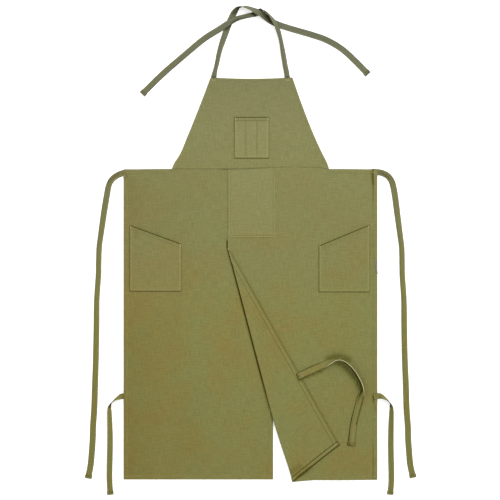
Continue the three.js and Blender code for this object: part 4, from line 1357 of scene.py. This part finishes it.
# %% Seams of the panels and the bib
END_IN = 2.0  # a row of stitches starts this far from the cloth's edge
FREE_EDGE_START = 16.0  # and this far above the hem at the folded corner
BIB_TACKS = ((-103, -92), (93, 104))  # bar tacks over the ends of the neck ties
BIB_TACK_Y = 449.0
LAP_RUN = (-203, 202)
BIB_SIDE_RUN, BIB_TOP_RUN = (WAIST_Y + 2, BIB_TOP_Y - 3), (0.02, 0.98)  # heights, and shares of the width
BOX_TOP = WAIST_Y - 1
BOX_GAP = 1.5  # between the two rows of stitches
EDGE_STITCH = 4.0  # from the sewn-down edge to its own row of stitches
POINTS = {"waist": 12, "bib_side": 30, "bib_top": 20, "lap": 30}  # along each curved seam
LEFT_X, RIGHT_X, INNER_X = -HALF_WIDTH + STITCH_IN, HALF_WIDTH - STITCH_IN, OVERLAP - STITCH_IN
SEAM_FOOT, SEAM_TOP = HEM_Y + END_IN, WAIST_Y - END_IN

waist_places = np.linspace(SEAM_HALF_WIDTH + SEAM_SLANT, HALF_WIDTH - END_IN, POINTS["waist"])
waist_seam = np.column_stack([waist_places, WAIST_Y - corner_drop(waist_places) - STITCH_IN])
left_leg_thread = sew("left_leg_stitching", left_leg_laid, [
    *both_sides([(LEFT_X, SEAM_FOOT), (LEFT_X, SEAM_TOP)]),
    *both_sides([(INNER_X, SEAM_FOOT), (INNER_X, SEAM_TOP)]),
    *both_sides([(-HALF_WIDTH + END_IN, HEM_Y + STITCH_IN), (OVERLAP - END_IN, HEM_Y + STITCH_IN)]),
    *both_sides(waist_seam * (-1, 1)),
])
hem_places = (-OVERLAP + END_IN, *RIGHT_HEM["x"][1:-1], HALF_WIDTH - END_IN)
right_leg_thread = sew("right_leg_stitching", right_leg_laid, [
    *both_sides([(-INNER_X, HEM_Y + FREE_EDGE_START), (-INNER_X, SEAM_TOP)]),
    *both_sides([(RIGHT_X, SEAM_FOOT), (RIGHT_X, SEAM_TOP)]),
    *both_sides([(x, y + STITCH_IN) for x, y in zip(hem_places, RIGHT_HEM["y"])]),
    *both_sides(waist_seam),
    *(run([(x, BOX_TOP), (x, BOX_FOOT_Y)])
      for x in (-OVERLAP + EDGE_STITCH, BOX_RIGHT_X, BOX_RIGHT_X + BOX_GAP)),
    *(run([(-INNER_X, y), (BOX_RIGHT_X, y)]) for y in (BOX_FOOT_Y - BOX_GAP / 2, BOX_FOOT_Y + BOX_GAP / 2)),
])
bib_heights = np.linspace(*BIB_SIDE_RUN, POINTS["bib_side"])
bib_seams = [np.column_stack([edge + inwards * BIB_STITCH_IN / SIDE_SLANT, bib_heights])
             for edge, inwards in zip(bib_sides(bib_heights), (1, -1))]
bib_shares = np.linspace(*BIB_TOP_RUN, POINTS["bib_top"])
bib_seams.append(np.column_stack([BIB["left"][-1] + bib_shares * (BIB["right"][-1] - BIB["left"][-1]),
                                  BIB_TOP_Y - BIB_STITCH_IN - BIB_TOP_SAG * np.sin(np.pi * bib_shares)]))
lap_places = np.linspace(*LAP_RUN, POINTS["lap"])
bib_thread = sew("bib_stitching", bib_laid, [
    *(row for seam in bib_seams for row in both_sides(seam)),
    run(np.column_stack([lap_places, bib_low(lap_places) + BIB_SEAM_IN])),
    *(tack((start, BIB_TACK_Y), (end, BIB_TACK_Y)) for start, end in BIB_TACKS),
])

# %% Seams of the pockets and ties
BAR = (8.0, 1.0)  # a bar tack runs between these depths below the mouth
BAR_IN = 0.4  # inside the edge stitches
TIP_IN = 1.5  # the tip's seam starts this far from the sides
SEWN_ON = {"leg_tie_right_inner": 15, "leg_tie_right_outer": 11}  # ties whose root shows, and how long it is


def pocket_thread(name):
    """Edge stitches, the mouth's hem, the channels and the bar tacks of a pocket."""
    pocket = POCKETS[name]
    x0, x1 = pocket["x0"] + EDGE_SEAM_IN, pocket["x1"] - EDGE_SEAM_IN
    foot = pocket["bottom"] + EDGE_SEAM_IN
    top0, top1 = pocket_mouth(pocket, x0), pocket_mouth(pocket, x1)
    rows = [run([(x0, top0 - BAR[1]), (x0, foot), (x1, foot), (x1, top1 - BAR[1])]),
            run([(x0, top0 - MOUTH_SEAM_IN), (x1, top1 - MOUTH_SEAM_IN)])]
    rows += [run([(x, foot), (x, pocket_mouth(pocket, x) - MOUTH_SEAM_IN)]) for x in pocket["seams"]]
    corners = ((x0 + BAR_IN, top0), (x1 - BAR_IN, top1))
    rows += [tack(*((x, top - deep) for deep in BAR)) for x, top in corners]
    return sew(name + "_stitching", lambda x, y: pocket_laid(pocket, x, y), rows)


def tie_thread(name):
    """The closing seam and the tip of a tie, and the box that sews down a root on top of the cloth."""
    made = ties[name]
    half, last = made["half"], made["length"]
    seam, tip, tip_end = half - BAND_SEAM_IN, last - TIP_SEAM, half - TIP_IN
    rows = both_sides([(seam, END_IN), (seam, last - END_IN)]) + both_sides([(-tip_end, tip), (tip_end, tip)])
    if name in SEWN_ON:
        end = SEWN_ON[name]
        rows.append(run([(seam, END_IN), (-seam, END_IN), (-seam, end), (seam, end)]))
    return sew(name + "_stitching", made["laid"], rows)


pocket_threads = {name: pocket_thread(name) for name in POCKETS}
tie_threads = {name: tie_thread(name) for name in TIES}

# %% [markdown]
# ## Handing the pieces over
#
# Each finished piece, with its thread, is attached to the body of the apron, and the solid of the imported
# model that it stands for is hidden. The flat area of each pattern is printed at the end, in square metres.

# %% Pieces handed over
def hand_over(piece, node, sewn=None):
    """The piece stands for this solid, and its thread goes with it."""
    for part in (piece, sewn):
        if part:
            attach(part, "root")
    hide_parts(node)


hand_over(left_leg, "left_leg_panel", left_leg_thread)
hand_over(right_leg, "right_leg_panel", right_leg_thread)
hand_over(bib, "bib", bib_thread)
for name, under in (("left_pocket", left_leg), ("right_pocket", right_leg), ("bib_pocket", bib)):
    hand_over(pockets[name], name, pocket_threads[name])
for name, made in ties.items():
    hand_over(made["piece"], name, tie_threads[name])
    under = LIES_ON.get(name, "floor")
hand_over(tag, "side_tag")
areas = {name: round(area * METRE ** 2, 4) for name, area in FLAT_AREA.items()}
print("flat areas in square metres:", areas)
